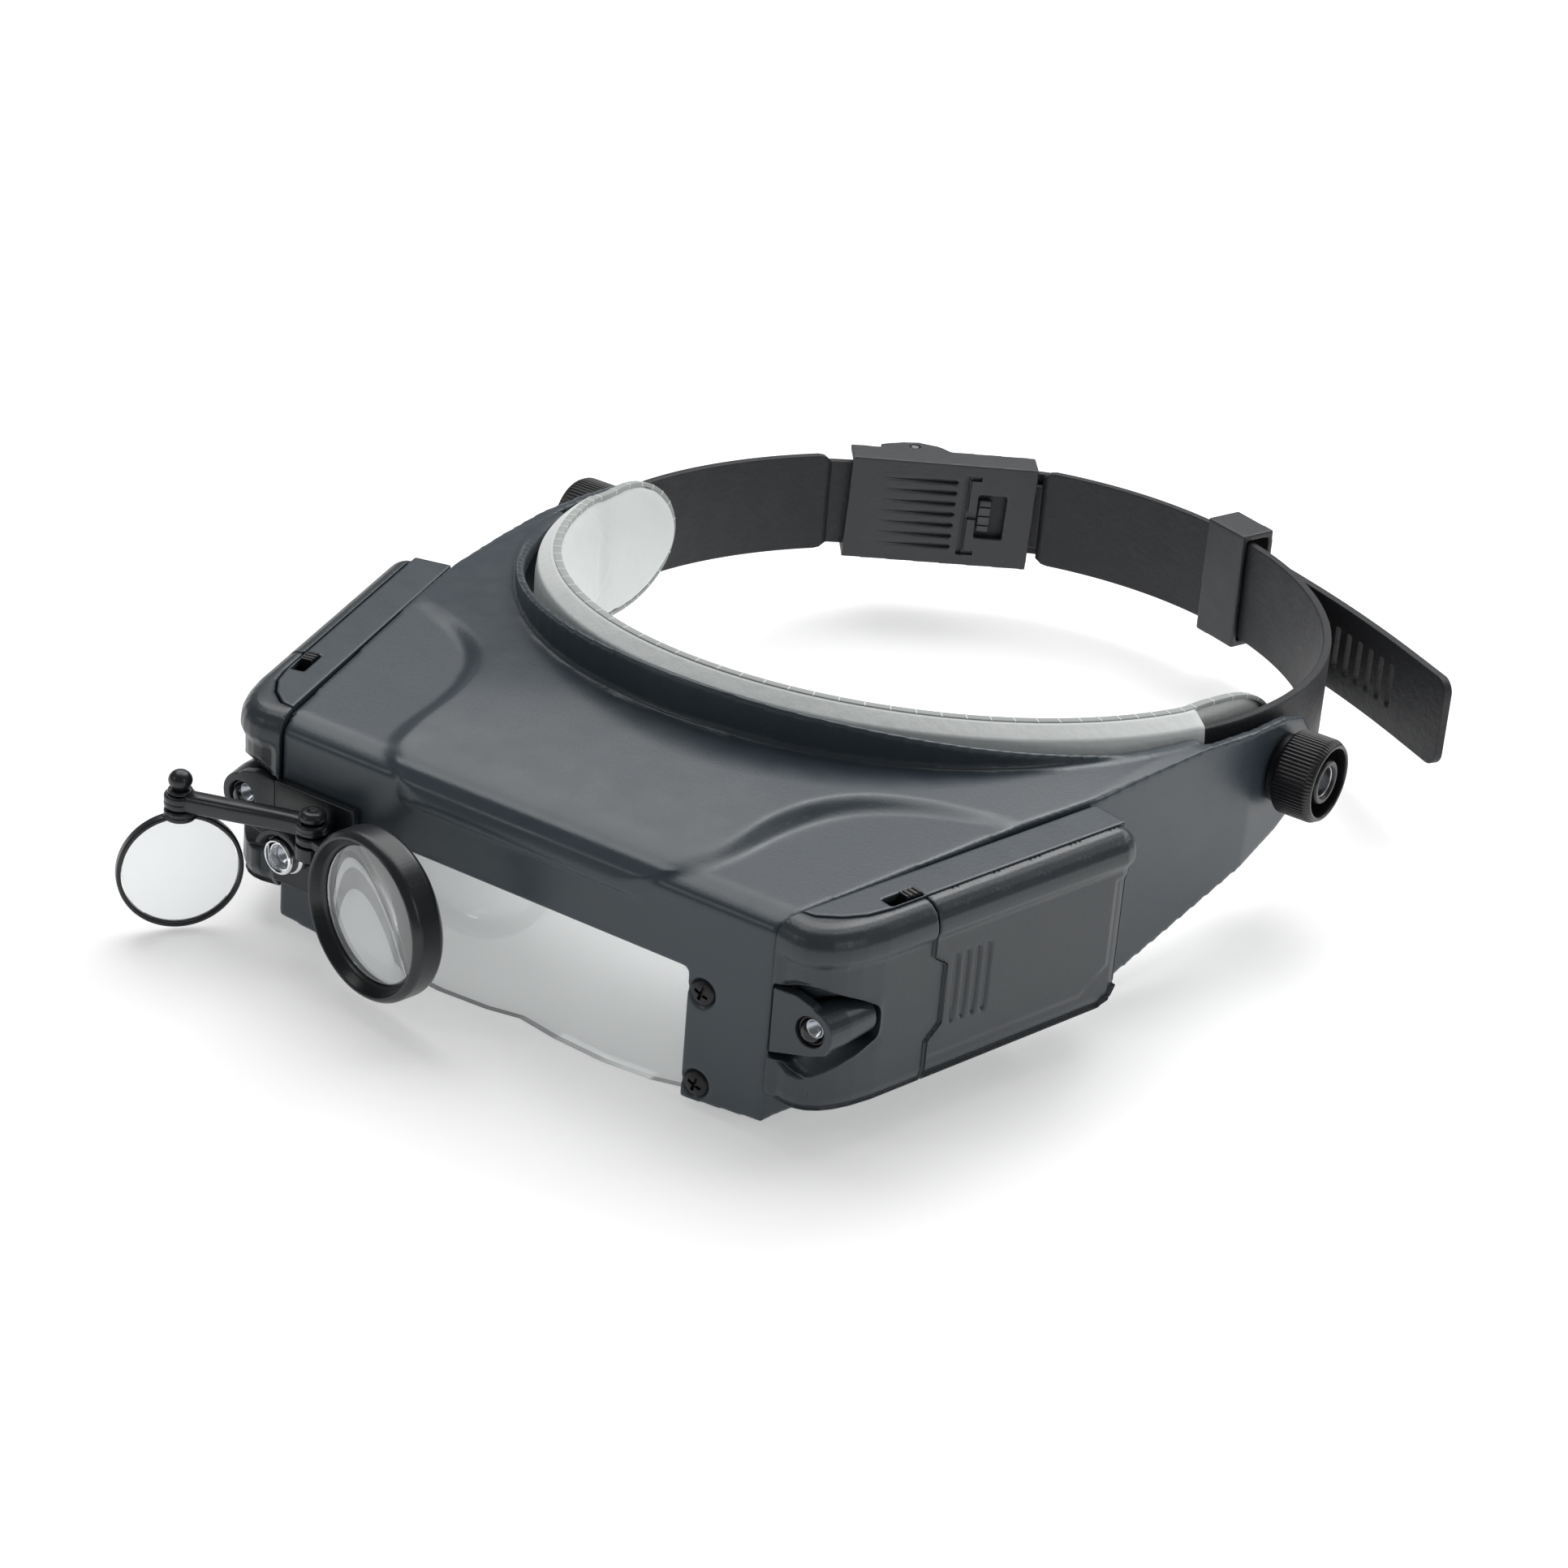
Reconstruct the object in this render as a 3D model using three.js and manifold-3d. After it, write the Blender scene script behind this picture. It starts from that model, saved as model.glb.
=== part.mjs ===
// Head visor magnifier: a hollow visor with a two-lobe lens, two battery pods with lamps, two swing
// loupes and a padded head strap with a lever buckle. Millimetres, +Z up, -Y forward, +X to the right.
// The shapes are laid out from the middle of the visor's top front edge; the last lines move the whole
// object so that the origin is the bottom centre of its bounding box.
import * as THREE from "three";
import { mergeVertices } from "three/addons/utils/BufferGeometryUtils.js";
import Module from "manifold-3d";

const wasm = await Module();
wasm.setup();

// ---- driving dimensions ----
const GAP = 0.3; // clearance between neighbours
const FRONT_HALF = 56; // half width of the visor's front face
const SEAM_REAR = [75.6, 76.2]; // where the pod seam ends, on the visor's side wall
const WALL = 2.2; // visor wall
const HEM_Z = -39.4; // lower edge of the visor's side walls
const BASE_TOP = [[0, -1.2], [0.6, -0.1], [2, 0.8], [5, 1.8], [25, 2.3], [57, 3.2], [76, 2.8],
  [109, 1.8]];
const ARM_END = [[125, 0], [139, -1.7], [147, -4.2], [151.3, -9], [152.2, -14.5], [150.5, -20],
  [146, -24.8]];
const HEM = [[141, -27], [103, -36], [88, HEM_Z], [2.3, HEM_Z], [2.3, -41.5], [0, -41.5]];
const WINDOW = { half: 38, top: -14.9 };
const LIP = { centreY: 134.3, halfX: 79.1, halfY: 90.6, wall: 1.6, endY: 112 };
const PIVOT = { x: 79.4, y: 139, z: -12.2 }; // inner face of the arm on the tilt axis
const KNOB = { r: 8.6, length: 10.4 };
const BAND = { centreY: 143, halfX: 76.8, rear: 83.4, front: 92.5, thick: 1.8, width: 22.5 };
const PAD = { height: 29, inner: 4.75, outer: 2 };
const POD = { width: 13.2, length: 78.5, top: 2.4, bottom: -34.4, doorN: 8.8, doorS: 27 };
const CELL = { r: 5.1, length: 43.3, n: 6.4, s: 30.7, z: [-8.4, -25.2] };
const PIN1 = [-43, -6.5]; // loupe hinge pin, plan position
const PIN2 = [-70.2, -12.3]; // outer pin of the link arm
const LOUPE = { centre: [-22.7, -12.6, -21.5], r: 16.5, glass: 13.2, depth: 7, yaw: -12.6 };
const SMALL = { centre: [-70.2, -12.3, -29.9], r: 12.1, glass: 11, depth: 2.2, yaw: 51 };
const LAMP = { x: 65, z: -16.8, front: -0.9 };
const SCREW_X = 41.3;
const SCREW_Z = [-18.7, -37.5];

// ---- solids ----
const rad = THREE.MathUtils.degToRad;

function solid(geometry) {
  const g = geometry.clone();
  g.deleteAttribute("normal");
  g.deleteAttribute("uv");
  const m = mergeVertices(g, 1e-4);
  return new wasm.Manifold(new wasm.Mesh({
    numProp: 3,
    vertProperties: new Float32Array(m.attributes.position.array),
    triVerts: new Uint32Array(m.index.array),
  }));
}

function extrude(points, depth, basis, at) {
  const shape = new THREE.Shape(points.map(([a, b]) => new THREE.Vector2(a, b)));
  const g = new THREE.ExtrudeGeometry(shape, { depth, bevelEnabled: false });
  const m = new THREE.Matrix4().makeBasis(...basis.map((v) => new THREE.Vector3(...v)));
  g.applyMatrix4(m.setPosition(...at));
  return solid(g);
}

// outline in X,Y, raised from z0 to z1
const plan = (points, z0, z1) => extrude(points, z1 - z0, [[1, 0, 0], [0, 1, 0], [0, 0, 1]], [0, 0, z0]);
// outline in Y,Z, from x0 to x1
const side = (points, x0, x1) => extrude(points, x1 - x0, [[0, 1, 0], [0, 0, 1], [1, 0, 0]], [x0, 0, 0]);
// outline in X,Z, from y0 to y1
const front = (points, y0, y1) => extrude(points, y1 - y0, [[1, 0, 0], [0, 0, 1], [0, -1, 0]],
  [0, y1, 0]);

function box([x0, y0, z0], [x1, y1, z1]) {
  const g = new THREE.BoxGeometry(x1 - x0, y1 - y0, z1 - z0);
  return solid(g.translate((x0 + x1) / 2, (y0 + y1) / 2, (z0 + z1) / 2));
}

// profile of [radius, height] turned about an axis through `at`; the axis is a direction vector
function turned(profile, at, axis, segments = 24) {
  const g = new THREE.LatheGeometry(profile.map(([r, h]) => new THREE.Vector2(r, h)), segments);
  const q = new THREE.Quaternion().setFromUnitVectors(
    new THREE.Vector3(0, 1, 0), new THREE.Vector3(...axis).normalize());
  return solid(g.applyQuaternion(q).translate(...at));
}

const rod = (r, h0, h1, at, axis, segments = 24) =>
  turned([[0, h0], [r, h0], [r, h1], [0, h1]], at, axis, segments);

const mirrorX = (points) => points.map(([x, y]) => [-x, y]).reverse();
const union = (list) => list.reduce((a, b) => a.add(b));

function placed(m, matrix) {
  return solid(geometryOf(m).applyMatrix4(matrix));
}

function geometryOf(m) {
  const mesh = m.getMesh();
  const g = new THREE.BufferGeometry();
  g.setAttribute("position", new THREE.BufferAttribute(new Float32Array(mesh.vertProperties), 3));
  g.setIndex(new THREE.BufferAttribute(new Uint32Array(mesh.triVerts), 1));
  return g;
}

function mirrored(m) {
  const g = geometryOf(m).scale(-1, 1, 1);
  const index = g.index.array;
  for (let i = 0; i < index.length; i += 3) {
    [index[i], index[i + 1]] = [index[i + 1], index[i]];
  }
  return solid(g);
}

// ---- materials ----
const paint = (color, roughness, metalness = 0, opacity = 1) =>
  new THREE.MeshStandardMaterial({ color, roughness, metalness, opacity, transparent: opacity < 1 });
const MATERIAL = {
  shell: paint(0x474e54, 0.5),
  strap: paint(0x2f3033, 0.65),
  knob: paint(0x1c1d1f, 0.45),
  lens: paint(0xe8eeee, 0.05, 0, 0.35),
  pad: paint(0xc6cbc9, 0.7),
  chrome: paint(0xd8dadc, 0.12, 1),
  steel: paint(0x8d9094, 0.35, 1),
  screw: paint(0x202224, 0.4, 0.6),
  led: paint(0xdfe6f2, 0.1, 0, 0.6),
  cell: paint(0x3b4a66, 0.35, 0.3),
};

const group = new THREE.Group();

function piece(name, m, material) {
  const mesh = new THREE.Mesh(geometryOf(m), MATERIAL[material]);
  mesh.name = name;
  group.add(mesh);
}

function pair(name, m, material) {
  piece(`${name}_right`, m, material);
  piece(`${name}_left`, mirrored(m), material);
}

// ---- visor ----
const ARM_OUT = PIVOT.x + WALL; // the arm is flat and square to X from this depth rearwards
const ARM_FLAT_Y = 127;
const WALL_OUT = [[FRONT_HALF, 0], SEAM_REAR, [ARM_OUT, ARM_FLAT_Y], [ARM_OUT, 165]];
const lipTop = (y) => {
  const k = (LIP.centreY - y) / LIP.halfY;
  return 5.9 - 0.1 * (y - LIP.centreY) - 8.1 * (1 - k * k);
};

const outline = (inset) => {
  const right = WALL_OUT.map(([x, y], i) => [x - inset, i ? y : inset]);
  return [...right, ...mirrorX(right)];
};

function ellipseArc(halfX, halfY, centreY, from, to, steps) {
  const points = [];
  for (let i = 0; i <= steps; i += 1) {
    const a = rad(from + ((to - from) * i) / steps);
    points.push([halfX * Math.cos(a), centreY + halfY * Math.sin(a)]);
  }
  return points;
}

// the centre field of the top, raised between two S-shaped steps
const S_LINE = [[22, -1.2], [28.5, 0], [34, 5], [36.5, 13], [38, 26], [41, 36], [46, 43.5], [54, 49.5],
  [64, 54]];
const S_STEP = new THREE.SplineCurve(S_LINE.map(([x, y]) => new THREE.Vector2(x,
  y))).getPoints(18).map((p) => [p.x, p.y]);
const FIELD_TOP = [[-1.2, -2.6], [-0.4, -0.4], [2, 1.9], [8, 3.4], [20, 4.6], [44, 6.6], [60, 6.4],
  [85, 4], [115, 1.8]];
const FIELD_CROWN = [[-80, 2.6], [-72, 3.2], [-40, 5.2], [0, 7.2], [40, 5.2], [72, 3.2], [80, 2.6]];

function raisedField(inset) {
  const startY = inset ? WALL : -1.2;
  const edge = S_STEP.map(([x, y]) => [x - inset, Math.max(y, startY)]);
  const rear = [[70.6 - inset, 57.5], [74.6 - inset, 74], [77 - inset, LIP.endY]];
  const half = [...(inset ? [[20, startY], ...edge.slice(4)] : edge), ...rear];
  const top = FIELD_TOP.filter(([y]) => y > startY - 0.1 && (!inset || y > 5)).map(([y, z]) => [y,
    z - inset]);
  const bottom = inset ? [[115, -1.2], [startY, -1.2], [startY, -0.6]] : [[115, 0], [5, 0], [-1.2, -4.7]];
  const crown = FIELD_CROWN.map(([x, z]) => [x, z - inset]);
  return plan([...half, ...mirrorX(half)], -6, 12)
    .intersect(side([...top, ...bottom].reverse(), -80, 80))
    .intersect(front([...crown, [80, -8], [-80, -8]].reverse(), -5, 120));
}

function visorShell() {
  const profile = [...BASE_TOP, ...ARM_END, ...HEM];
  const outer = plan(outline(0), -45, 12).intersect(side([...profile].reverse(), -90,
    90)).add(raisedField(0));
  const inTop = [...BASE_TOP, ...ARM_END.slice(0, 2)].filter(([y]) => y > WALL).map(([y, z]) => [y,
    z - WALL]);
  const hollow = plan(outline(WALL), -50, 12)
    .intersect(side([[1, -50], [1, -2], ...inTop, [170, -3], [170, -50]].reverse(), -90, 90))
    .add(raisedField(WALL));
  const lipInner = ellipseArc(LIP.halfX - LIP.wall, LIP.halfY - LIP.wall, LIP.centreY, 180, 360, 36);
  const head = plan([...lipInner, [40, 170], [-40, 170]], -50, 40)
    .add(plan(outline(WALL), -50, 40).intersect(box([-90, LIP.endY, -50], [90, 170, 40])));
  const endAngle = THREE.MathUtils.radToDeg(Math.asin((LIP.centreY - LIP.endY) / LIP.halfY));
  const arcs = [LIP.wall, 0].map((w) =>
    ellipseArc(LIP.halfX - w, LIP.halfY - w, LIP.centreY, 180 + endAngle, 360 - endAngle, 36));
  const lipProfile = [];
  for (let y = 42; y <= LIP.endY; y += 7) lipProfile.push([y, lipTop(y)]);
  const lip = plan([...arcs[1], ...arcs[0].reverse()], -2, 20)
    .intersect(side([...lipProfile, [LIP.endY, -0.2], [76, 0.9], [42, 1.6]].reverse(), -90, 90));
  const flangeWedge = front([[WINDOW.half, -41.5], [57, -39.4], [57, -45],
    [WINDOW.half, -45]].reverse(), -3, 3);
  let shell = outer.subtract(hollow).subtract(head).add(lip)
    .subtract(box([-WINDOW.half, -3, -50], [WINDOW.half, 3, WINDOW.top]))
    .subtract(flangeWedge).subtract(mirrored(flangeWedge));
  for (const x of [-SCREW_X, SCREW_X]) {
    for (const z of SCREW_Z) {
      shell = shell.subtract(rod(1.55, -1, 12, [x, 0, z], [0, 1, 0], 16))
        .subtract(rod(3, -1, 1, [x, 0, z], [0, 1, 0], 20));
    }
  }
  for (const x of [-90, 70]) {
    shell = shell.subtract(rod(3.3, 0, 20, [x, PIVOT.y, PIVOT.z], [1, 0, 0]));
  }
  return shell;
}

function mainLens() {
  const half = [[0.0, -41.4], [8, -42.5], [19, -43], [30, -42.3], [37, -41], [40, -40.6], [40, -33.5],
    [37.8, -33.5],
    [37.8, -22.5], [40, -22.5], [40, -12.6], [0, -12.6]];
  const outlineXZ = [...half, ...mirrorX(half).slice(1, -1)];
  const slab = front(outlineXZ.reverse(), WALL + GAP, WALL + GAP + 2.6);
  const lobe = (x) => {
    const dome = solid(new THREE.SphereGeometry(60, 64, 48).rotateX(Math.PI / 2).translate(x, 63.1, -27));
    return dome.intersect(box([x - 18.4, 0, -40.5], [x + 18.4, WALL + GAP + 1, -16]));
  };
  return slab.add(lobe(-18.8)).add(lobe(18.8));
}

function lensClamp() {
  const bar = box([38.4, 5.4, -40], [44.2, 8.4, -13.2]);
  const spacers = SCREW_Z.map((z) => box([41.3 - 0.9 + 0.2, 2.6, z - 2.6], [44.2, 5.5, z + 2.6]));
  return SCREW_Z.reduce(
    (m, z) => m.subtract(rod(1.5, 2, 9, [SCREW_X, 0, z], [0, 1, 0], 16)), union([bar, ...spacers]));
}

function lensScrew(x, z) {
  const body = turned([[0, -0.1], [1.8, 0], [2.6, 0.4], [2.6, 0.7], [1.2, 0.7], [1.2, 9.6], [0, 10.2]],
    [x, 0, z], [0, 1, 0], 12);
  return body.subtract(box([x - 1.4, -1, z - 0.35], [x + 1.4, 0.35, z + 0.35]));
}

piece("visor_shell", visorShell(), "shell");
piece("main_lens", mainLens(), "lens");
pair("lens_clamp", lensClamp(), "shell");
for (const [x, label] of [[SCREW_X, "right"], [-SCREW_X, "left"]]) {
  piece(`lens_screw_upper_${label}`, lensScrew(x, SCREW_Z[0]), "screw");
  piece(`lens_screw_lower_${label}`, lensScrew(x, SCREW_Z[1]), "screw");
}

// ---- pods: modelled with X away from the visor wall and Y along the pod, then swung into place ----
const podAngle = -Math.atan2(SEAM_REAR[0] - FRONT_HALF, SEAM_REAR[1]);
const podMatrix = new THREE.Matrix4().makeRotationZ(podAngle).setPosition(FRONT_HALF, 0, 0);
const inPod = (m) => placed(m, podMatrix);

const NOSE = [[GAP, -0.7], [4.6, -0.4], [7, 0.4], [9, 1.8], [10.7, 4], [11.9, 6.8], [12.7, 10.2]];
const SHOULDER = 4.4; // radius of the pod's outer top edge

const POD_PLAN = [...NOSE, [POD.width, 15], [POD.width, POD.length - 4.6],
  [POD.width - 0.6, POD.length - 2.3],
  [POD.width - 2.3, POD.length - 0.6], [POD.width - 4.6, POD.length], [GAP, POD.length]];

// the pod's outline moved inwards, except where it meets the visor wall
function podOutline(d) {
  const last = POD_PLAN.length - 1;
  return POD_PLAN.map(([n, s], i) => {
    if (i === 0 || i === last) return [n, i ? s - d : s + d];
    const [a, b] = [POD_PLAN[i - 1], POD_PLAN[i + 1]];
    const t = new THREE.Vector2(b[0] - a[0], b[1] - a[1]).normalize();
    return [Math.max(GAP, n - t.y * d), s + t.x * d];
  });
}

// a solid through equal-length outlines stacked in Z
function loft(levels) {
  const count = levels[0].points.length;
  const positions = levels.flatMap(({ points, z }) => points.flatMap(([x, y]) => [x, y, z]));
  const cap = THREE.ShapeUtils.triangulateShape(POD_PLAN.map(([x, y]) => new THREE.Vector2(x, y)), []);
  const top = (levels.length - 1) * count;
  const index = cap.flatMap(([a, b, c]) => [c, b, a, top + a, top + b, top + c]);
  for (let k = 0; k < top; k += count) {
    for (let i = 0; i < count; i += 1) {
      const j = (i + 1) % count;
      index.push(k + i, k + j, k + count + j, k + i, k + count + j, k + count + i);
    }
  }
  const g = new THREE.BufferGeometry();
  g.setAttribute("position", new THREE.BufferAttribute(new Float32Array(positions), 3));
  g.setIndex(index);
  return solid(g);
}

function podEnvelope(inset) {
  const edge = (radius, angles, z, sign) => angles.map((a) => ({
    z: z + sign * radius * Math.sin(rad(a)),
    points: podOutline(inset + radius * (1 - Math.cos(rad(a)))),
  }));
  const low = 3.2 - inset;
  const high = SHOULDER - inset;
  const levels = [...edge(low, [90, 60, 30, 0], POD.bottom + 3.2, -1),
    ...edge(high, [0, 18, 36, 54, 72, 90], POD.top - SHOULDER, 1)];
  const rear = POD.length - inset;
  const along = [[-2, 5], [rear, 5], [rear, -27], [rear - 7, POD.bottom + inset],
    [-2, POD.bottom + inset]];
  return loft(levels).intersect(side([...along].reverse(), -1, 20));
}

// the door's edge seen from the side, with its stepped tongue
function doorRegion(grow) {
  const s = POD.doorS - grow;
  const edge = [[s, 4], [s, -8.4], [s + 3.2, -10.4], [s + 3.2, -22.6], [s, -25.6], [s, -36], [82, -36],
    [82, 4]];
  return side([...edge].reverse(), POD.doorN - grow, 15);
}

const COVER = [[GAP + 0.2, 5], [3, 6], [6, 9.6], [7.9, 14], [8.5, 19], [8.5, 77.2], [GAP + 0.2, 77.2]];
const SLOT = { n: [5.2, 8.1], s: [19.4, 27.2] };

const POD_ALONG = [Math.sin(-podAngle), Math.cos(podAngle), 0]; // the way the pod runs, seen from above
const SCOOP = [[0, -4], [11.4, -4], [9.4, 0], [8.3, 4], [6.7, 9], [4.8, 13.4], [0, 14.4]];

function lampPocket() {
  return box([56.5, -3, -25.3], [66.5, 3.4, -10.2])
    .add(turned(SCOOP, [LAMP.x, LAMP.front, LAMP.z - 0.8], POD_ALONG, 40));
}

function podCase() {
  const bay = box([1.1, 28.2, -32.9], [12, 75.9, 6]);
  const noseBay = box([2, 17.8, -31], [11.4, 27.1, 0.6]);
  const cover = plan(COVER.map(([n, s]) => [n > 1 ? n + GAP : n - 0.5, s > 70 ? 79 : s - GAP]), 0.6, 6);
  return inPod(podEnvelope(0).subtract(doorRegion(GAP)).subtract(bay).subtract(noseBay).subtract(cover)
    .subtract(box([3, 26, -14], [6, 29, -9])))
    .subtract(lampPocket());
}

function podCover() {
  return inPod(plan(COVER, 0.9, POD.top)
    .subtract(box([SLOT.n[0], SLOT.s[0], 0], [SLOT.n[1], SLOT.s[1], 4])));
}

function batteryDoor() {
  let door = podEnvelope(0).subtract(podEnvelope(1.4)).intersect(doorRegion(0));
  for (let i = 0; i < 4; i += 1) {
    const s = 32.4 + i * 2.6;
    door = door.subtract(box([POD.width - 0.5, s, -23.5], [POD.width + 1, s + 0.9, -9.5]));
  }
  return inPod(door);
}

function switchSlider() {
  const knob = box([SLOT.n[0] + GAP, 23.2, -0.4], [SLOT.n[1] - GAP, 26.9, 3]);
  const foot = box([4.4, 22.6, -1.6], [8.3, 26.2, -0.3]);
  const ribs = [24, 25.1, 26.2].map((s) => box([SLOT.n[0], s - 0.3, 2.6], [SLOT.n[1], s, 3.2]));
  return inPod(ribs.reduce((m, rib) => m.subtract(rib), knob.add(foot)));
}

function lampHolder() {
  const y = LAMP.front;
  const face = front([[56.9, -11], [61.8, -10.7], [65.1, -11.7], [68.3, -14.2], [69.4, -17],
    [68.6, -20.3], [65.6, -21.6],
    [56.9, -24]].reverse(), y, y + 2.2);
  const hood = turned([[0, -2], [4.6, -2], [4.3, 6], [3.4, 12.8], [0, 12.8]], [LAMP.x, y, LAMP.z],
    POD_ALONG, 28)
    .intersect(box([55, y, -30], [80, 20, 0]));
  return face.add(hood).subtract(rod(3, -2, 1.4, [LAMP.x, 0, LAMP.z], [0, 1, 0]))
    .subtract(rod(2.1, -2, 6, [LAMP.x, 0, LAMP.z], [0, 1, 0]));
}

function ledBulb(at, axis) {
  return turned([[0, -2.3], [1.2, -2], [2, -1.2], [2.35, 0], [2.35, 1.1], [1.8, 1.1], [1.8, 4.6],
    [0, 4.6]], at, axis, 14);
}

function cell(z) {
  const profile = [[0, 0], [4.4, 0], [CELL.r, 0.6], [CELL.r, 42.7], [4.4, CELL.length],
    [1.9, CELL.length],
    [1.9, CELL.length + 1], [0, CELL.length + 1]];
  return inPod(turned(profile, [CELL.n, CELL.s, z], [0, 1, 0], 16));
}

function springContact() {
  const plate = box([2.2, 28.5, -31], [8.4, 29, -2.6]);
  const coils = CELL.z.map((z) => turned([[0, 0], [3.2, 0], [3.2, 0.5], [2, 1.5], [0, 1.5]],
    [CELL.n, 28.9, z], [0, 1, 0], 16));
  return inPod(union([plate, ...coils]));
}

function podParts() {
  pair("pod_case", podCase(), "shell");
  pair("pod_top_cover", podCover(), "shell");
  pair("battery_door", batteryDoor(), "shell");
  pair("switch_slider", switchSlider(), "knob");
  pair("lamp_holder", lampHolder(), "shell");
  pair("lamp_led", ledBulb([LAMP.x, 0.2, LAMP.z], [0, 1, 0]), "led");
  pair("cell_upper", cell(CELL.z[0]), "cell");
  pair("cell_lower", cell(CELL.z[1]), "cell");
  pair("contact_springs", springContact(), "steel");
  pair("contact_plate", inPod(box([2.2, 75.2, -31], [8.4, 75.6, -2.6])), "steel");
}
podParts();

// ---- loupes on the left front corner ----
const KNUCKLE_R = 3.1;
const knuckle = ([x, y], z0, z1) => rod(KNUCKLE_R, z0, z1, [x, y, 0], [0, 0, 1], 20);
const bore = ([x, y]) => rod(1.5, -40, 0, [x, y, 0], [0, 0, 1], 16);
const facing = (yaw) => [Math.sin(rad(yaw)), -Math.cos(rad(yaw)), 0];
const BEZEL = [-51.2, -2.8, -23];

function loupeBracket() {
  const plate = box([-55.9, -2, -31], [-37, -GAP, -10]);
  const lug = box([PIN1[0] - 2.4, PIN1[1], -19.6], [PIN1[0] + 2.4, -1, -16.8]);
  const hood = turned([[4.7, 0], [5.8, 0], [5.8, 4.6], [4.7, 4.6], [4.7, 0]],
    [BEZEL[0], -1.9, BEZEL[2]], [0, -1, 0], 28)
    .intersect(box([-58, -8, BEZEL[2] + 1.5], [-45, -1, BEZEL[2] + 8]));
  return union([plate, lug, knuckle(PIN1, -19.6, -16.8), hood]).subtract(bore(PIN1))
    .subtract(rod(2.6, -4, 4, BEZEL, [0, 1, 0], 16));
}

function chromeBezel() {
  return turned([[2.9, 0], [4.2, 0], [4.2, 2.4], [3.6, 3.6], [2.9, 3.6], [2.9, 0]], BEZEL, facing(-6),
    28);
}

function loupeRing() {
  const { centre, r, glass, depth, yaw } = LOUPE;
  const h = depth / 2;
  const ring = turned([[glass + 0.3, -h], [r - 0.9, -h], [r, -h + 1], [r, h - 1], [r - 0.9, h],
    [glass + 0.9, h],
    [glass + 0.3, h - 1], [glass + 0.3, -h]], centre, facing(yaw), 40);
  const along = new THREE.Vector3(centre[0] - PIN1[0], centre[1] - PIN1[1], 0).normalize();
  const web = placed(box([0, -1.6, -16.5], [7, 1.6, -14.7]),
    new THREE.Matrix4().makeRotationZ(Math.atan2(along.y, along.x)).setPosition(PIN1[0], PIN1[1], 0));
  return union([ring, web, knuckle(PIN1, -16.5, -14.7)]).subtract(bore(PIN1));
}

function biconvex(centre, yaw, r, edge, bulge, segments) {
  const rim = edge / 2;
  const profile = [[0, -rim - bulge]];
  for (let i = 1; i <= 4; i += 1) profile.push([(r * i) / 4, -rim - bulge * (1 - (i / 4) ** 2)]);
  const back = profile.map(([a, h]) => [a, -h]).reverse();
  return turned([...profile, ...back], centre, facing(yaw), segments);
}

function linkArm() {
  const path = new THREE.CatmullRomCurve3([
    [PIN1[0] - 1.5, PIN1[1] - 0.4, -13.3], [-48, -7.8, -13.3], [-52.5, -9, -13.5], [-58, -10.2, -14],
    [-64, -11.2, -14.6],
    [PIN2[0] + 1.5, PIN2[1] + 0.2, -15.2]].map((p) => new THREE.Vector3(...p)));
  const section = new THREE.Shape();
  section.absellipse(0, 0, 1.05, 1.9, 0, 2 * Math.PI);
  const bar = new THREE.ExtrudeGeometry(section, { steps: 9, curveSegments: 3, extrudePath: path });
  return union([solid(bar), knuckle(PIN1, -14.4, -12.2), knuckle(PIN2, -16.4, -13.6)])
    .subtract(bore(PIN1)).subtract(bore(PIN2));
}

function smallRing() {
  const { centre, r, glass, depth, yaw } = SMALL;
  const h = depth / 2;
  const ring = turned([[glass + 0.25, -h], [r, -h], [r, h], [glass + 0.25, h], [glass + 0.25, -h]],
    centre, facing(yaw), 32);
  const blank = turned([[0, -9], [glass + 0.25, -9], [glass + 0.25, 9], [0, 9]], centre, facing(yaw), 32);
  return union([ring, knuckle(PIN2, -19.4, -16.7)]).subtract(blank).subtract(bore(PIN2).intersect(
    box([-80, -20, -30], [-60, 0, 0])));
}

const pinHead = ([x, y], z) => turned([[0, z], [2.2, z], [2.6, z + 0.5], [2.6, z + 1.4], [1.6, z + 2],
  [0, z + 2.1]],
  [x, y, 0], [0, 0, 1], 20);

piece("loupe_bracket", loupeBracket(), "shell");
piece("lamp_bezel", chromeBezel(), "chrome");
piece("lamp_led_centre", ledBulb([BEZEL[0], BEZEL[1] - 2.6, BEZEL[2]], facing(174)), "led");
piece("loupe_pin", rod(1.2, -20.2, -11.8, [...PIN1, 0], [0, 0, 1], 12).add(pinHead(PIN1, -11.9)), "knob");
piece("loupe_ring", loupeRing(), "knob");
piece("loupe_lens", biconvex(LOUPE.centre, LOUPE.yaw, 13.2, 1.6, 2.2, 32), "lens");
piece("link_arm", linkArm(), "knob");
piece("link_pin", union([rod(1.2, -16.6, -11, [...PIN2, 0], [0, 0, 1], 16),
  rod(2.2, -13.3, -12.7, [...PIN2, 0], [0, 0, 1], 16),
  solid(new THREE.SphereGeometry(2.3, 12, 8).rotateX(Math.PI / 2).translate(...PIN2, -10.9))]), "knob");
piece("small_loupe_ring", smallRing(), "knob");
piece("small_loupe_lens", biconvex(SMALL.centre, SMALL.yaw, 11, 0.8, 0.7, 28), "lens");

// ---- head strap ----
// the strap's middle height falls gently from the forehead to the back of the head
const bandZ = (y) => -11.85 - 0.105 * (y - 139) + 0.0003 * (y - 139) ** 2;
const half = BAND.thick / 2;

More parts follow.
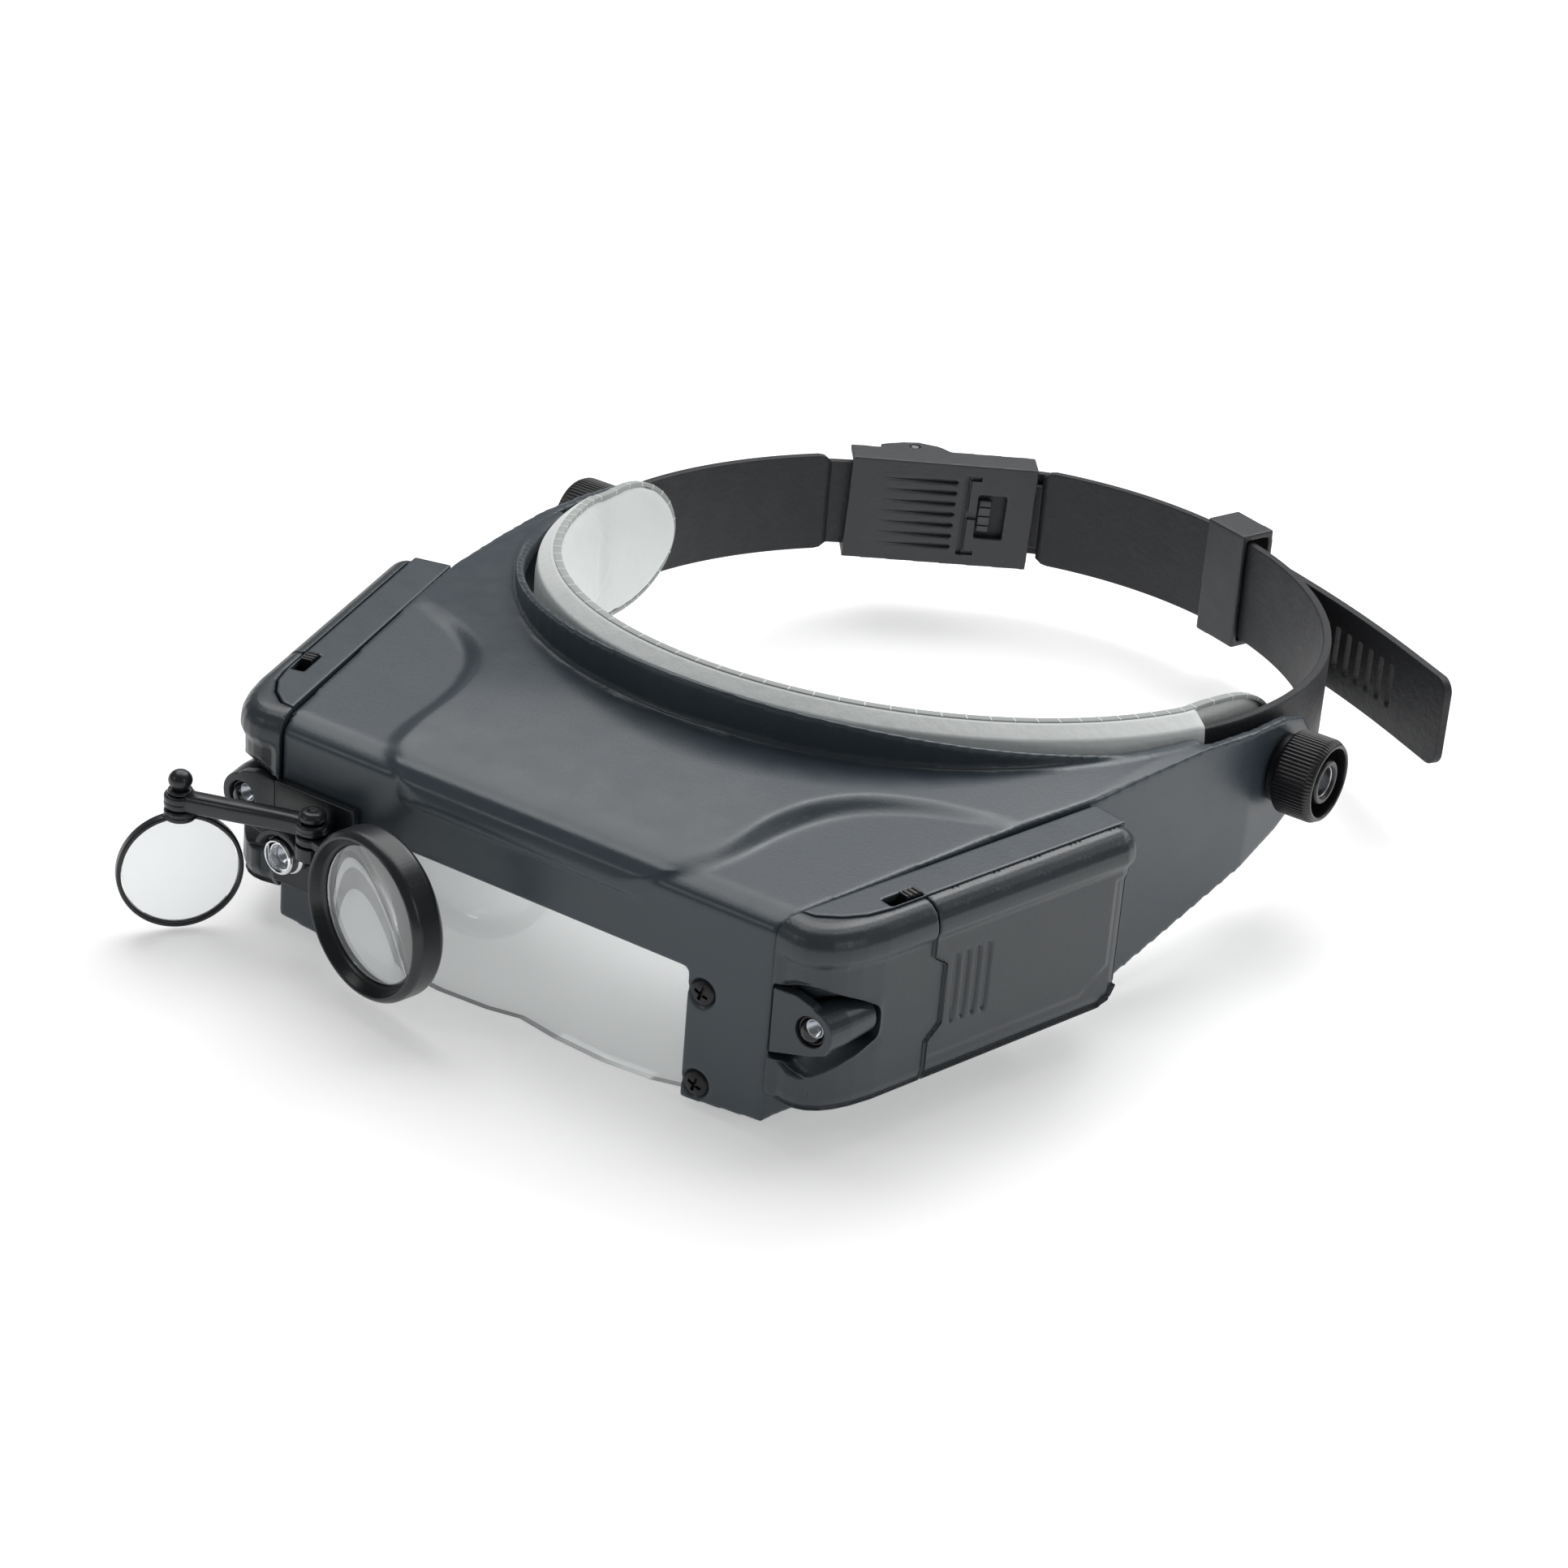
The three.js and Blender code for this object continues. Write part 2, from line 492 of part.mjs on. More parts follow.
function bandPoint(angle, offset = 0) {
  const a = rad(angle);
  const b = Math.sin(a) > 0 ? BAND.rear : BAND.front;
  const n = new THREE.Vector2(Math.cos(a) / BAND.halfX, Math.sin(a) / b).normalize();
  return [BAND.halfX * Math.cos(a) + n.x * offset, BAND.centreY + b * Math.sin(a) + n.y * offset];
}

function bandArc(from, to, step, offset = 0) {
  const count = Math.max(1, Math.round(Math.abs(to - from) / step));
  return Array.from({ length: count + 1 }, (_, i) => bandPoint(from + ((to - from) * i) / count, offset));
}

// a strip of the given thickness along a centre line
function strip(line, inner, outer) {
  const shift = (d) => line.map((p, i) => {
    const a = line[Math.max(0, i - 1)];
    const b = line[Math.min(line.length - 1, i + 1)];
    const n = new THREE.Vector2(a[1] - b[1], b[0] - a[0]).normalize();
    return [p[0] + n.x * d, p[1] + n.y * d];
  });
  const ring = [...shift(outer), ...shift(inner).reverse()];
  const area = THREE.ShapeUtils.area(ring.map(([x, y]) => new THREE.Vector2(x, y)));
  return plan(area > 0 ? ring : ring.reverse(), -60, 40);
}

function bandSlab(height, y0, y1) {
  const upper = [];
  for (let y = y0; y <= y1; y += (y1 - y0) / 14) upper.push([y, bandZ(y) + height / 2]);
  const lower = upper.map(([y, z]) => [y, z - height]).reverse();
  return side([...upper, ...lower].reverse(), -110, 110);
}

const BUCKLE = { x: -42.1, y: 207.8, angle: 38, tilt: 2.1 };
const buckleMatrix = new THREE.Matrix4().makeRotationZ(rad(BUCKLE.angle))
  .multiply(new THREE.Matrix4().makeRotationY(rad(BUCKLE.tilt))).setPosition(BUCKLE.x, BUCKLE.y,
    bandZ(BUCKLE.y));
const inBuckle = (m) => placed(m, buckleMatrix);
function bucklePoint(t, v) {
  const p = new THREE.Vector3(t, v, 0).applyMatrix4(buckleMatrix);
  return [p.x, p.y];
}

const TAIL = [[33, 219.2], [44, 214.4], [55, 209.2], [66, 203.4], [78, 196.3], [94.5, 185.6]];

function strapTongue() {
  const lead = [bandPoint(146), bandPoint(143.2), bucklePoint(-14, 1.1), bucklePoint(-7, 2),
    bucklePoint(0, 2.6), bucklePoint(12, 3.3)];
  const over = bandArc(108, 78, 6, 2.6);
  const curve = new THREE.CatmullRomCurve3([...lead, ...over,
    ...TAIL].map(([x, y]) => new THREE.Vector3(x, y, 0)));
  return curve.getSpacedPoints(44).map((p) => [p.x, p.y]);
}

function slotCut(line, index, length, height) {
  const [x, y] = line[index];
  const [nx, ny] = line[index + 1];
  const m = new THREE.Matrix4().makeRotationZ(Math.atan2(ny - y, nx - x)).setPosition(x, y, bandZ(y));
  return placed(box([-length / 2, -3, -height / 2], [length / 2, 3, height / 2]), m);
}

function headStrap() {
  const inner = strip([...bandArc(108.4, -215.2, 4.5)], -half, half)
    .intersect(bandSlab(BAND.width, 44, 232));
  const neck = strip([bucklePoint(1, 0.2), bucklePoint(14, 0.6), ...bandArc(110, 108, 1)], -half, half)
    .intersect(bandSlab(15, 195, 232));
  const line = strapTongue();
  let tongue = strip(line, -half, half).intersect(bandSlab(19.6, 180, 232));
  const tip = placed(box([-1.6, -3, -12], [6, 3, 12]).subtract(box([-3, -4, -7], [0.6, 4, 7])),
    new THREE.Matrix4().makeRotationZ(rad(-33)).setPosition(94, 185.9, bandZ(186)));
  tongue = tongue.subtract(tip.intersect(box([80, 170, -40], [100, 200, 10])));
  for (let i = 22; i <= 39; i += 1) {
    if (i < 27 || i > 30) tongue = tongue.subtract(slotCut(line, i, 1.7, 9.5));
  }
  const hookSlot = inBuckle(box([8.4, 1.9, -4.6], [11.6, 6, 4.6]));
  let strap = union([inner, neck, tongue]).subtract(hookSlot);
  for (const x of [-90, 60]) {
    strap = strap.subtract(rod(3.3, 0, 30, [x, PIVOT.y, PIVOT.z], [1, 0, 0], 20));
  }
  return strap;
}

function buckleBase() {
  const w = 20.8;
  const wall = box([-w, -2.3, -12.1], [w, -0.95, 12.1]);
  const rails = [[-12.1, -10.7], [10.7, 12.1]].map(([z0, z1]) => box([-w, -2.3, z0], [w, 5, z1]));
  const ears = [[-12.1, -10.7], [10.7, 12.1]].map(([z0, z1]) =>
    plan([[-14, 4.8], [2, 4.8], [-1, 7.6], [-5, 9], [-9, 8.6], [-14, 6.6]], z0, z1));
  let base = union([wall, ...rails, ...ears]);
  for (let i = 0; i < 7; i += 1) {
    const z = -7.8 + i * 2.6;
    base = base.subtract(plan([[-13, -3], [3, -3], [3, -1.7], [-13, -2.28]], z - 0.5, z + 0.5));
  }
  return inBuckle(base.subtract(box([5, -3, -9.5], [6.2, -1.6, 9.5])).subtract(box([8.2, -3, -5.2],
    [14.6, 0, 5.2]))
    .subtract(rod(1.2, -14, 14, [-6.3, 6.6, 0], [0, 0, 1], 16)));
}

function buckleLever() {
  const shape = [[-19.6, 6], [-19.4, 7], [-12, 9.3], [-5, 9.8], [3, 8.2], [9, 6.6], [15.5, 6.2],
    [15.5, 5], [4, 5], [-12, 5.1]];
  const hook = box([9.3, 2.4, -3.6], [10.7, 5.2, 3.6]);
  return inBuckle(plan([...shape].reverse(), -10.3, 10.3).add(hook).subtract(rod(1.3, -14, 14, [-6.3,
    6.6, 0], [0, 0, 1], 16)));
}

function keeper() {
  const [x, y] = bandPoint(71.5);
  const loop = box([-6, -2.7, -13.2], [6, 5.9, 13.2]).subtract(box([-8, -1.4, -11.8], [8, 4.6, 11.8]));
  const m = new THREE.Matrix4().makeRotationZ(rad(-21)).multiply(new THREE.Matrix4().makeRotationY(rad(-1.2)))
    .setPosition(x, y, bandZ(y));
  return placed(loop, m);
}

function foreheadPad() {
  const top = [];
  for (let y = 44; y <= 128; y += 12) top.push([y, PAD.height / 2]);
  const end = [[137, 13], [144, 8.5], [148.6, 0]];
  const upper = [...top, ...end].map(([y, h]) => [y, bandZ(y) + h]);
  const lower = [...top, ...end.slice(0, 2)].map(([y, h]) => [y, bandZ(y) - h]).reverse();
  const outlineYZ = side([...upper, ...lower].reverse(), -90, 90);
  const sleeve = strip(bandArc(-17.5, -162.5, 5), -PAD.inner, PAD.outer)
    .subtract(strip(bandArc(-15, -165, 5), -1.25, 1.25).intersect(bandSlab(BAND.width + 0.8, 40, 130)));
  const lobe = strip(bandArc(6, -24, 4), -5.8, -3);
  const trim = box([-90, 40, -60], [90, 117, 40]);
  return union([sleeve.intersect(trim), lobe, mirrored(lobe)]).intersect(outlineYZ);
}

function pivotBolt() {
  const x = PIVOT.x;
  return turned([[0, -5.2], [5.2, -5.2], [5.2, -4.2], [3, -4.2], [3, 9.4], [0, 9.4]],
    [x, PIVOT.y, PIVOT.z], [1, 0, 0], 24);
}

function knob() {
  const profile = [[3.3, 0], [7, 0], [7, 1.6], [8.2, 1.8], [KNOB.r, 2.4], [KNOB.r, 9], [7.6, KNOB.length],
    [7, KNOB.length], [7, 9], [4.6, 9], [4.6, 9.9], [3.3, 9.9], [3.3, 0]];
  return turned(profile, [ARM_OUT + GAP, PIVOT.y, PIVOT.z], [1, 0, 0], 24);
}

piece("head_strap", headStrap(), "strap");
piece("forehead_pad", foreheadPad(), "pad");
piece("buckle_base", buckleBase(), "strap");
piece("buckle_lever", buckleLever(), "strap");
piece("buckle_pin", inBuckle(rod(0.9, -11.9, 11.9, [-6.3, 6.6, 0], [0, 0, 1], 12)), "steel");
piece("strap_keeper", keeper(), "strap");
pair("pivot_bolt", pivotBolt(), "steel");
pair("pivot_washer", turned([[3.3, -1.4], [8, -1.4], [8, -0.5], [3.3, -0.5], [3.3, -1.4]],
  [PIVOT.x, PIVOT.y, PIVOT.z], [1, 0, 0], 24), "knob");
pair("pivot_knob", knob(), "knob");

// ---- origin at the bottom centre of the bounding box ----
const bounds = new THREE.Box3().setFromObject(group);
group.position.set(-(bounds.min.x + bounds.max.x) / 2, -(bounds.min.y + bounds.max.y) / 2, -bounds.min.z);

export default group;
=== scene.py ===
import math

import bmesh
import bpy
import numpy as np
from mathutils import Matrix, Vector


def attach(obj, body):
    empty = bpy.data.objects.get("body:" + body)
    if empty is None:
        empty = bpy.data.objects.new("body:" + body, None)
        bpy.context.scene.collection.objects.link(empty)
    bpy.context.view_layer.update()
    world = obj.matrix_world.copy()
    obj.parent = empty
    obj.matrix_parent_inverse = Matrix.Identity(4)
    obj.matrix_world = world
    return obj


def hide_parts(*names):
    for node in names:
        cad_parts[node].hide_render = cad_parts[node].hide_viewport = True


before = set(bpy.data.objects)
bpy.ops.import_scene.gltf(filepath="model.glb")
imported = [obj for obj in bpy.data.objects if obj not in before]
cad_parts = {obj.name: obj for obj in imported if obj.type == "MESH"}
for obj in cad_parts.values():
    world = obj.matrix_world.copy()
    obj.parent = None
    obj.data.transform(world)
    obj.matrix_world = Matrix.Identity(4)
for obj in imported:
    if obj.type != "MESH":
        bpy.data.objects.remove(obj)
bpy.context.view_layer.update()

# Shapes are laid out in millimetres from the middle of the visor's top front edge, then moved to the frame.
MM = 0.001
SHIFT = Vector((-1.3, -103.7, 43.0))
TO_FRAME = Matrix.Scale(MM, 4) @ Matrix.Translation(SHIFT)

# ---- camera ----
AZIMUTH, ELEVATION, ROLL = (math.radians(d) for d in (32.38, 27.36, 4.8))
EYE = Vector((395.2, -536.7, 356.9))


def photo_camera():
    right = Vector((math.cos(AZIMUTH), math.sin(AZIMUTH), 0))
    up = Vector((-math.sin(AZIMUTH) * math.sin(ELEVATION), math.cos(AZIMUTH) * math.sin(ELEVATION),
        math.cos(ELEVATION)))
    across = math.cos(ROLL) * right + math.sin(ROLL) * up
    upright = math.cos(ROLL) * up - math.sin(ROLL) * right
    turn = Matrix((across, upright, across.cross(upright))).transposed().to_4x4()
    data = bpy.data.cameras.new("photo_camera")
    data.lens, data.sensor_width = 96.5, 36
    data.clip_start, data.clip_end = 0.05, 20
    camera = bpy.data.objects.new("photo_camera", data)
    bpy.context.scene.collection.objects.link(camera)
    camera.matrix_world = Matrix.Translation((EYE + SHIFT) * MM) @ turn
    bpy.context.scene.camera = camera


photo_camera()


# ---- materials ----
def socket(node, name, value):
    node.inputs[name].default_value = value


def surface(name, color, rough, *, mottle=0.1, mottle_scale=45, grain=900, bump=0.02, distance=0.0002,
        edge_highlight=0.0,
            rough_span=0.08, specular=0.5, metallic=0.0, transmission=0.0, ior=1.5, coat=0.0, sheen=0.0):
    material = bpy.data.materials.new(name)
    material.use_nodes = True
    tree = material.node_tree
    shader = tree.nodes["Principled BSDF"]
    link = tree.links.new
    make = tree.nodes.new
    socket(shader, "Metallic", metallic)
    socket(shader, "Specular IOR Level", specular)
    socket(shader, "Transmission Weight", transmission)
    socket(shader, "IOR", ior)
    socket(shader, "Coat Weight", coat)
    socket(shader, "Sheen Weight", sheen)
    place = make("ShaderNodeTexCoord")
    broad = make("ShaderNodeTexNoise")
    socket(broad, "Scale", mottle_scale)
    socket(broad, "Detail", 5)
    link(place.outputs["Object"], broad.inputs["Vector"])
    tint = make("ShaderNodeMix")
    tint.data_type = "RGBA"
    low = [c * (1 - mottle) for c in color] + [1]
    high = [min(1, c * (1 + mottle)) for c in color] + [1]
    tint.inputs[6].default_value, tint.inputs[7].default_value = low, high
    link(broad.outputs["Fac"], tint.inputs[0])
    painted = tint.outputs[2]
    # Painted highlight: convex edges, found by Pointiness, are mixed towards a lighter tint of the colour,
    # standing in for the highlight lines along the edges.
    if edge_highlight:
        edge = make("ShaderNodeNewGeometry")
        ramp = make("ShaderNodeMapRange")
        for key, value in (("From Min", 0.52), ("From Max", 0.62), ("To Max", edge_highlight)):
            socket(ramp, key, value)
        link(edge.outputs["Pointiness"], ramp.inputs["Value"])
        highlighted = make("ShaderNodeMix")
        highlighted.data_type = "RGBA"
        highlighted.inputs[7].default_value = [min(1, c * 1.9 + 0.02) for c in color] + [1]
        link(painted, highlighted.inputs[6])
        link(ramp.outputs["Result"], highlighted.inputs[0])
        painted = highlighted.outputs[2]
    link(painted, shader.inputs["Base Color"])
    gloss = make("ShaderNodeTexNoise")
    socket(gloss, "Scale", mottle_scale * 4)
    socket(gloss, "Detail", 3)
    link(place.outputs["Object"], gloss.inputs["Vector"])
    span = make("ShaderNodeMapRange")
    socket(span, "To Min", max(0, rough - rough_span))
    socket(span, "To Max", min(1, rough + rough_span))
    link(gloss.outputs["Fac"], span.inputs["Value"])
    link(span.outputs["Result"], shader.inputs["Roughness"])
    if bump:
        fine = make("ShaderNodeTexNoise")
        socket(fine, "Scale", grain)
        socket(fine, "Detail", 4)
        link(place.outputs["Object"], fine.inputs["Vector"])
        raised = make("ShaderNodeBump")
        socket(raised, "Strength", bump)
        socket(raised, "Distance", distance)
        link(fine.outputs["Fac"], raised.inputs["Height"])
        link(raised.outputs["Normal"], shader.inputs["Normal"])
    return material


# The edge amounts given below paint convex edges lighter as a painted highlight.
SHELL = surface("shell_plastic", (0.036, 0.05, 0.062), 0.33, bump=0.35, grain=1600, distance=0.00008,
    edge_highlight=0.3)
CASE = surface("case_plastic", (0.031, 0.039, 0.046), 0.33, bump=0.4, grain=1500, distance=0.0001,
    edge_highlight=0.35)
STRAP = surface("strap_plastic", (0.021, 0.022, 0.025), 0.55, bump=0.6, grain=700, distance=0.0003,
    edge_highlight=0.25, specular=0.4)
BUCKLE = surface("buckle_plastic", (0.036, 0.038, 0.043), 0.48, bump=0.4, grain=900, distance=0.0002,
    edge_highlight=0.4)
KNOB = surface("knob_plastic", (0.01, 0.01, 0.012), 0.32, bump=0.2, grain=1800, distance=0.00006, edge_highlight=0.25)
RING = surface("ring_plastic", (0.013, 0.015, 0.018), 0.3, bump=0.25, grain=1500, distance=0.00008,
    edge_highlight=0.25)
CLEAR = surface("clear_acrylic", (0.95, 0.97, 0.975), 0.0, mottle=0.01, rough_span=0.01, bump=0,
    transmission=0.86, ior=1.49)
WINDOW = surface("window_acrylic", (0.95, 0.97, 0.97), 0.0, mottle=0.01, rough_span=0.01, bump=0,
    transmission=0.78, ior=1.49)
EPOXY = surface("led_epoxy", (0.9, 0.94, 1.0), 0.05, mottle=0.02, rough_span=0.04, bump=0,
    transmission=1.0, ior=1.52)
CHROME = surface("chrome_plate", (0.86, 0.87, 0.88), 0.12, mottle=0.03, bump=0.05, metallic=1.0)
STEEL = surface("plated_steel", (0.5, 0.51, 0.53), 0.3, mottle=0.08, bump=0.1, metallic=1.0)
SCREW = surface("black_screw", (0.022, 0.022, 0.024), 0.35, bump=0.1, metallic=0.6, edge_highlight=0.5)
VINYL = surface("pad_vinyl", (0.76, 0.79, 0.78), 0.5, mottle=0.06, bump=0.5, grain=420, distance=0.0003,
    sheen=0.15)
THREAD = surface("pad_tape", (0.38, 0.4, 0.39), 0.75, mottle=0.15, bump=0.6, grain=2500, distance=0.0001)
SLEEVE = surface("cell_sleeve", (0.05, 0.09, 0.18), 0.35, mottle=0.15, bump=0.1, coat=0.3)


# ---- building ----
def publish(name, mesh, material, body, nodes=()):
    ob = bpy.data.objects.new(name, mesh)
    bpy.context.scene.collection.objects.link(ob)
    mesh.materials.clear()
    mesh.materials.append(material)
    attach(ob, body)
    if nodes:
        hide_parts(*nodes)
    return ob


def mesh_of(name, verts, faces, smooth=True):
    mesh = bpy.data.meshes.new(name)
    mesh.from_pydata([tuple(v) for v in verts], [], faces)
    mesh.validate()
    bm = bmesh.new()
    bm.from_mesh(mesh)
    bmesh.ops.recalc_face_normals(bm, faces=bm.faces)
    bm.to_mesh(mesh)
    bm.free()
    mesh.polygons.foreach_set("use_smooth", [smooth] * len(mesh.polygons))
    return mesh


def evaluated(mesh, *modifiers):
    """The mesh with modifiers (type, settings) applied."""
    ob = bpy.data.objects.new("work", mesh)
    bpy.context.scene.collection.objects.link(ob)
    for kind, settings in modifiers:
        m = ob.modifiers.new(kind.lower(), kind)
        for key, value in settings.items():
            setattr(m, key, value)
    graph = bpy.context.evaluated_depsgraph_get()
    result = bpy.data.meshes.new_from_object(ob.evaluated_get(graph))
    bpy.data.objects.remove(ob)
    return result


def moulded(node, voxel, rounds, factor=0.5):
    """A CAD node's shape with evenly rounded edges, as a moulding has."""
    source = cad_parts[node].data.copy()
    mesh = evaluated(source, ("REMESH", {"mode": "VOXEL", "voxel_size": voxel * MM,
        "use_smooth_shade": True}),
                     ("SMOOTH", {"factor": factor, "iterations": rounds}))
    mesh.polygons.foreach_set("use_smooth", [True] * len(mesh.polygons))
    return mesh


def coordinates(mesh):
    co = np.empty(len(mesh.vertices) * 3)
    mesh.vertices.foreach_get("co", co)
    return co.reshape(-1, 3) / MM - np.array(SHIFT)


def set_coordinates(mesh, co):
    mesh.vertices.foreach_set("co", ((co + np.array(SHIFT)) * MM).ravel())
    mesh.update()


def rounded(points, radius, steps=4, closed=False):
    out = []
    count = len(points)
    for i, p in enumerate(points):
        p = Vector(p)
        if not closed and i in (0, count - 1):
            out.append(p)
            continue
        a, b = Vector(points[i - 1]) - p, Vector(points[(i + 1) % count]) - p
        r = min(radius, 0.45 * a.length, 0.45 * b.length)
        s, e = p + a.normalized() * r, p + b.normalized() * r
        for k in range(steps + 1):
            t = k / steps
            out.append(s * (1 - t) ** 2 + 2 * p * t * (1 - t) + e * t * t)
    return out


def axis_matrix(at, axis):
    return Matrix.Translation(Vector(at)) @ Vector((0, 0,
        1)).rotation_difference(Vector(axis).normalized()).to_matrix().to_4x4()


def lathe(name, profile, at, axis, segments=64, closed=False, wave=None):
    """Profile of (radius, height) turned about an axis; wave(angle, r, h) offsets the radius."""
    m = TO_FRAME @ axis_matrix(at, axis)
    verts, rings = [], []
    for r, h in profile:
        if r < 1e-4:
            rings.append([len(verts)] * segments)
            verts.append(m @ Vector((0, 0, h)))
            continue
        ring = []
        for k in range(segments):
            a = 2 * math.pi * k / segments
            rr = r + (wave(a, r, h) if wave else 0)
            ring.append(len(verts))
            verts.append(m @ Vector((rr * math.cos(a), rr * math.sin(a), h)))
        rings.append(ring)
    pairs = list(zip(rings, rings[1:])) + ([(rings[-1], rings[0])] if closed else [])
    faces = []
    for lower, upper in pairs:
        for k in range(segments):
            j = (k + 1) % segments
            face = list(dict.fromkeys((lower[k], lower[j], upper[j], upper[k])))
            if len(face) > 2:
                faces.append(face)
    return mesh_of(name, verts, faces)


def tidy_normals(ob):
    m = ob.modifiers.new("weighted", "WEIGHTED_NORMAL")
    m.weight = 90
    return ob


SIDES = (("right", 1), ("left", -1))

def fused(name, meshes, voxel, rounds):
    """Several closed meshes joined into one skin with rounded inner corners."""
    bm = bmesh.new()
    for mesh in meshes:
        bm.from_mesh(mesh)
    joined = bpy.data.meshes.new(name)
    bm.to_mesh(joined)
    bm.free()
    mesh = evaluated(joined, ("REMESH", {"mode": "VOXEL", "voxel_size": voxel * MM,
        "use_smooth_shade": True}),
                     ("SMOOTH", {"factor": 0.5, "iterations": rounds}))
    mesh.polygons.foreach_set("use_smooth", [True] * len(mesh.polygons))
    return mesh


def sweep(name, stations, matrix=TO_FRAME):
    """Skin over equal-length loops of points, closed at both ends."""
    verts, faces = [], []
    count = len(stations[0])
    for loop in stations:
        verts += [matrix @ Vector(p) for p in loop]
    for k in range(len(stations) - 1):
        for i in range(count):
            j = (i + 1) % count
            a, b = k * count, (k + 1) * count
            faces.append((a + i, a + j, b + j, b + i))
    faces.append(tuple(range(count)))
    faces.append(tuple(range(len(verts) - count, len(verts))))
    return mesh_of(name, verts, faces)


def spline(points, step=0.5):
    """Even points along a Catmull-Rom curve."""
    pts = [Vector(p) for p in points]
    pts = [2 * pts[0] - pts[1]] + pts + [2 * pts[-1] - pts[-2]]
    dense = []
    for a, b, c, d in zip(pts, pts[1:], pts[2:], pts[3:]):
        for k in range(24):
            t = k / 24
            dense.append(0.5 * (2 * b + (c - a) * t + (2 * a - 5 * b + 4 * c - d) * t * t + (3 * b - a - 3 * c + d) * t ** 3))
    dense.append(pts[-2])
    arr = np.array([tuple(p) for p in dense])
    run = np.concatenate([[0], np.cumsum(np.linalg.norm(np.diff(arr, axis=0), axis=1))])
    count = max(2, int(round(run[-1] / step)))
    want = np.linspace(0, run[-1], count + 1)
    return np.stack([np.interp(want, run, arr[:, i]) for i in range(arr.shape[1])], 1), run[-1]


def cut(mesh, cutters):
    """Boolean difference of a mesh and closed cutters."""
    work = bpy.data.objects.new("work", mesh)
    bpy.context.scene.collection.objects.link(work)
    tools = []
    for cutter in cutters:
        tool = bpy.data.objects.new("cutter", cutter)
        bpy.context.scene.collection.objects.link(tool)
        m = work.modifiers.new("cut", "BOOLEAN")
        m.operation, m.object, m.solver = "DIFFERENCE", tool, "EXACT"
        tools.append(tool)
    result = bpy.data.meshes.new_from_object(work.evaluated_get(bpy.context.evaluated_depsgraph_get()))
    for ob in [work, *tools]:
        bpy.data.objects.remove(ob)
    return result


def block(low, high, matrix=TO_FRAME):
    (x0, y0, z0), (x1, y1, z1) = low, high
    loops = [[(x0, y0, z), (x1, y0, z), (x1, y1, z), (x0, y1, z)] for z in (z0, z1)]
    return sweep("block", loops, matrix)


# ---- visor ----
SEAM_X = 56
SEAM_REAR = Vector((75.6, 76.2))
POD_ANGLE = math.atan2(SEAM_REAR.x - SEAM_X, SEAM_REAR.y)
S_LINE = [(22, -1.2), (28.5, 0), (34, 5), (36.5, 13), (38, 26), (41, 36), (46, 43.5), (54, 49.5), (64, 54),
    (71.5, 58),
          (75.5, 74), (78, 112)]
BASE_TOP = [(-2, -1.2), (0, -1.2), (0.6, -0.1), (2, 0.8), (5, 1.8), (25, 2.3), (57, 3.2), (76, 2.8),
    (109, 1.8), (125, 0),
            (139, -1.7)]
FIELD_TOP = [(-1.2, -2.6), (-0.4, -0.4), (2, 1.9), (8, 3.4), (20, 4.6), (44, 6.6), (60, 6.4), (85, 4),
    (115, 1.8)]
FIELD_CROWN = [(0, 7.2), (40, 5.2), (72, 3.2), (80, 2.6)]


FIELD_BLEND = 0.35


def eased(table, at, sigma):
    """A table of heights read with its corners eased over sigma millimetres."""
    grid = np.arange(table[0][0] - 8, table[-1][0] + 8, 0.1)
    value = np.interp(grid, *np.array(table).T)
    kernel = np.exp(-0.5 * (np.arange(-40, 41) * 0.1 / sigma) ** 2) if sigma < 1.4 else np.exp(
        -0.5 * (np.arange(-80, 81) * 0.1 / sigma) ** 2)
    value = np.convolve(np.pad(value, len(kernel) // 2, mode="edge"), kernel / kernel.sum(), "valid")
    return np.interp(at, grid, value)


def step_distance(co):
    """Distance to the S-shaped step, positive inside the raised field, and its direction in plan."""
    line, _ = spline([(x, y, 0) for x, y in S_LINE], 1.0)
    line = line[:, :2]
    p = np.stack([np.abs(co[:, 0]), co[:, 1]], 1)
    best = np.full(len(p), 1e9)
    sign = np.ones(len(p))
    away = np.zeros((len(p), 2))
    for a, b in zip(line, line[1:]):
        ab = b - a
        t = np.clip(((p - a) @ ab) / (ab @ ab), 0, 1)[:, None]
        gap = p - (a + t * ab)
        dist = np.linalg.norm(gap, axis=1)
        near = dist < best
        best[near] = dist[near]
        sign[near] = np.sign(ab[0] * gap[near, 1] - ab[1] * gap[near, 0])
        left = np.array([-ab[1], ab[0]]) / np.linalg.norm(ab)
        away[near] = left
    away[:, 0] *= np.sign(co[:, 0])
    return best * sign, away


def smooth_step(x, low, high):
    t = np.clip((x - low) / (high - low), 0, 1)
    return t * t * (3 - 2 * t)


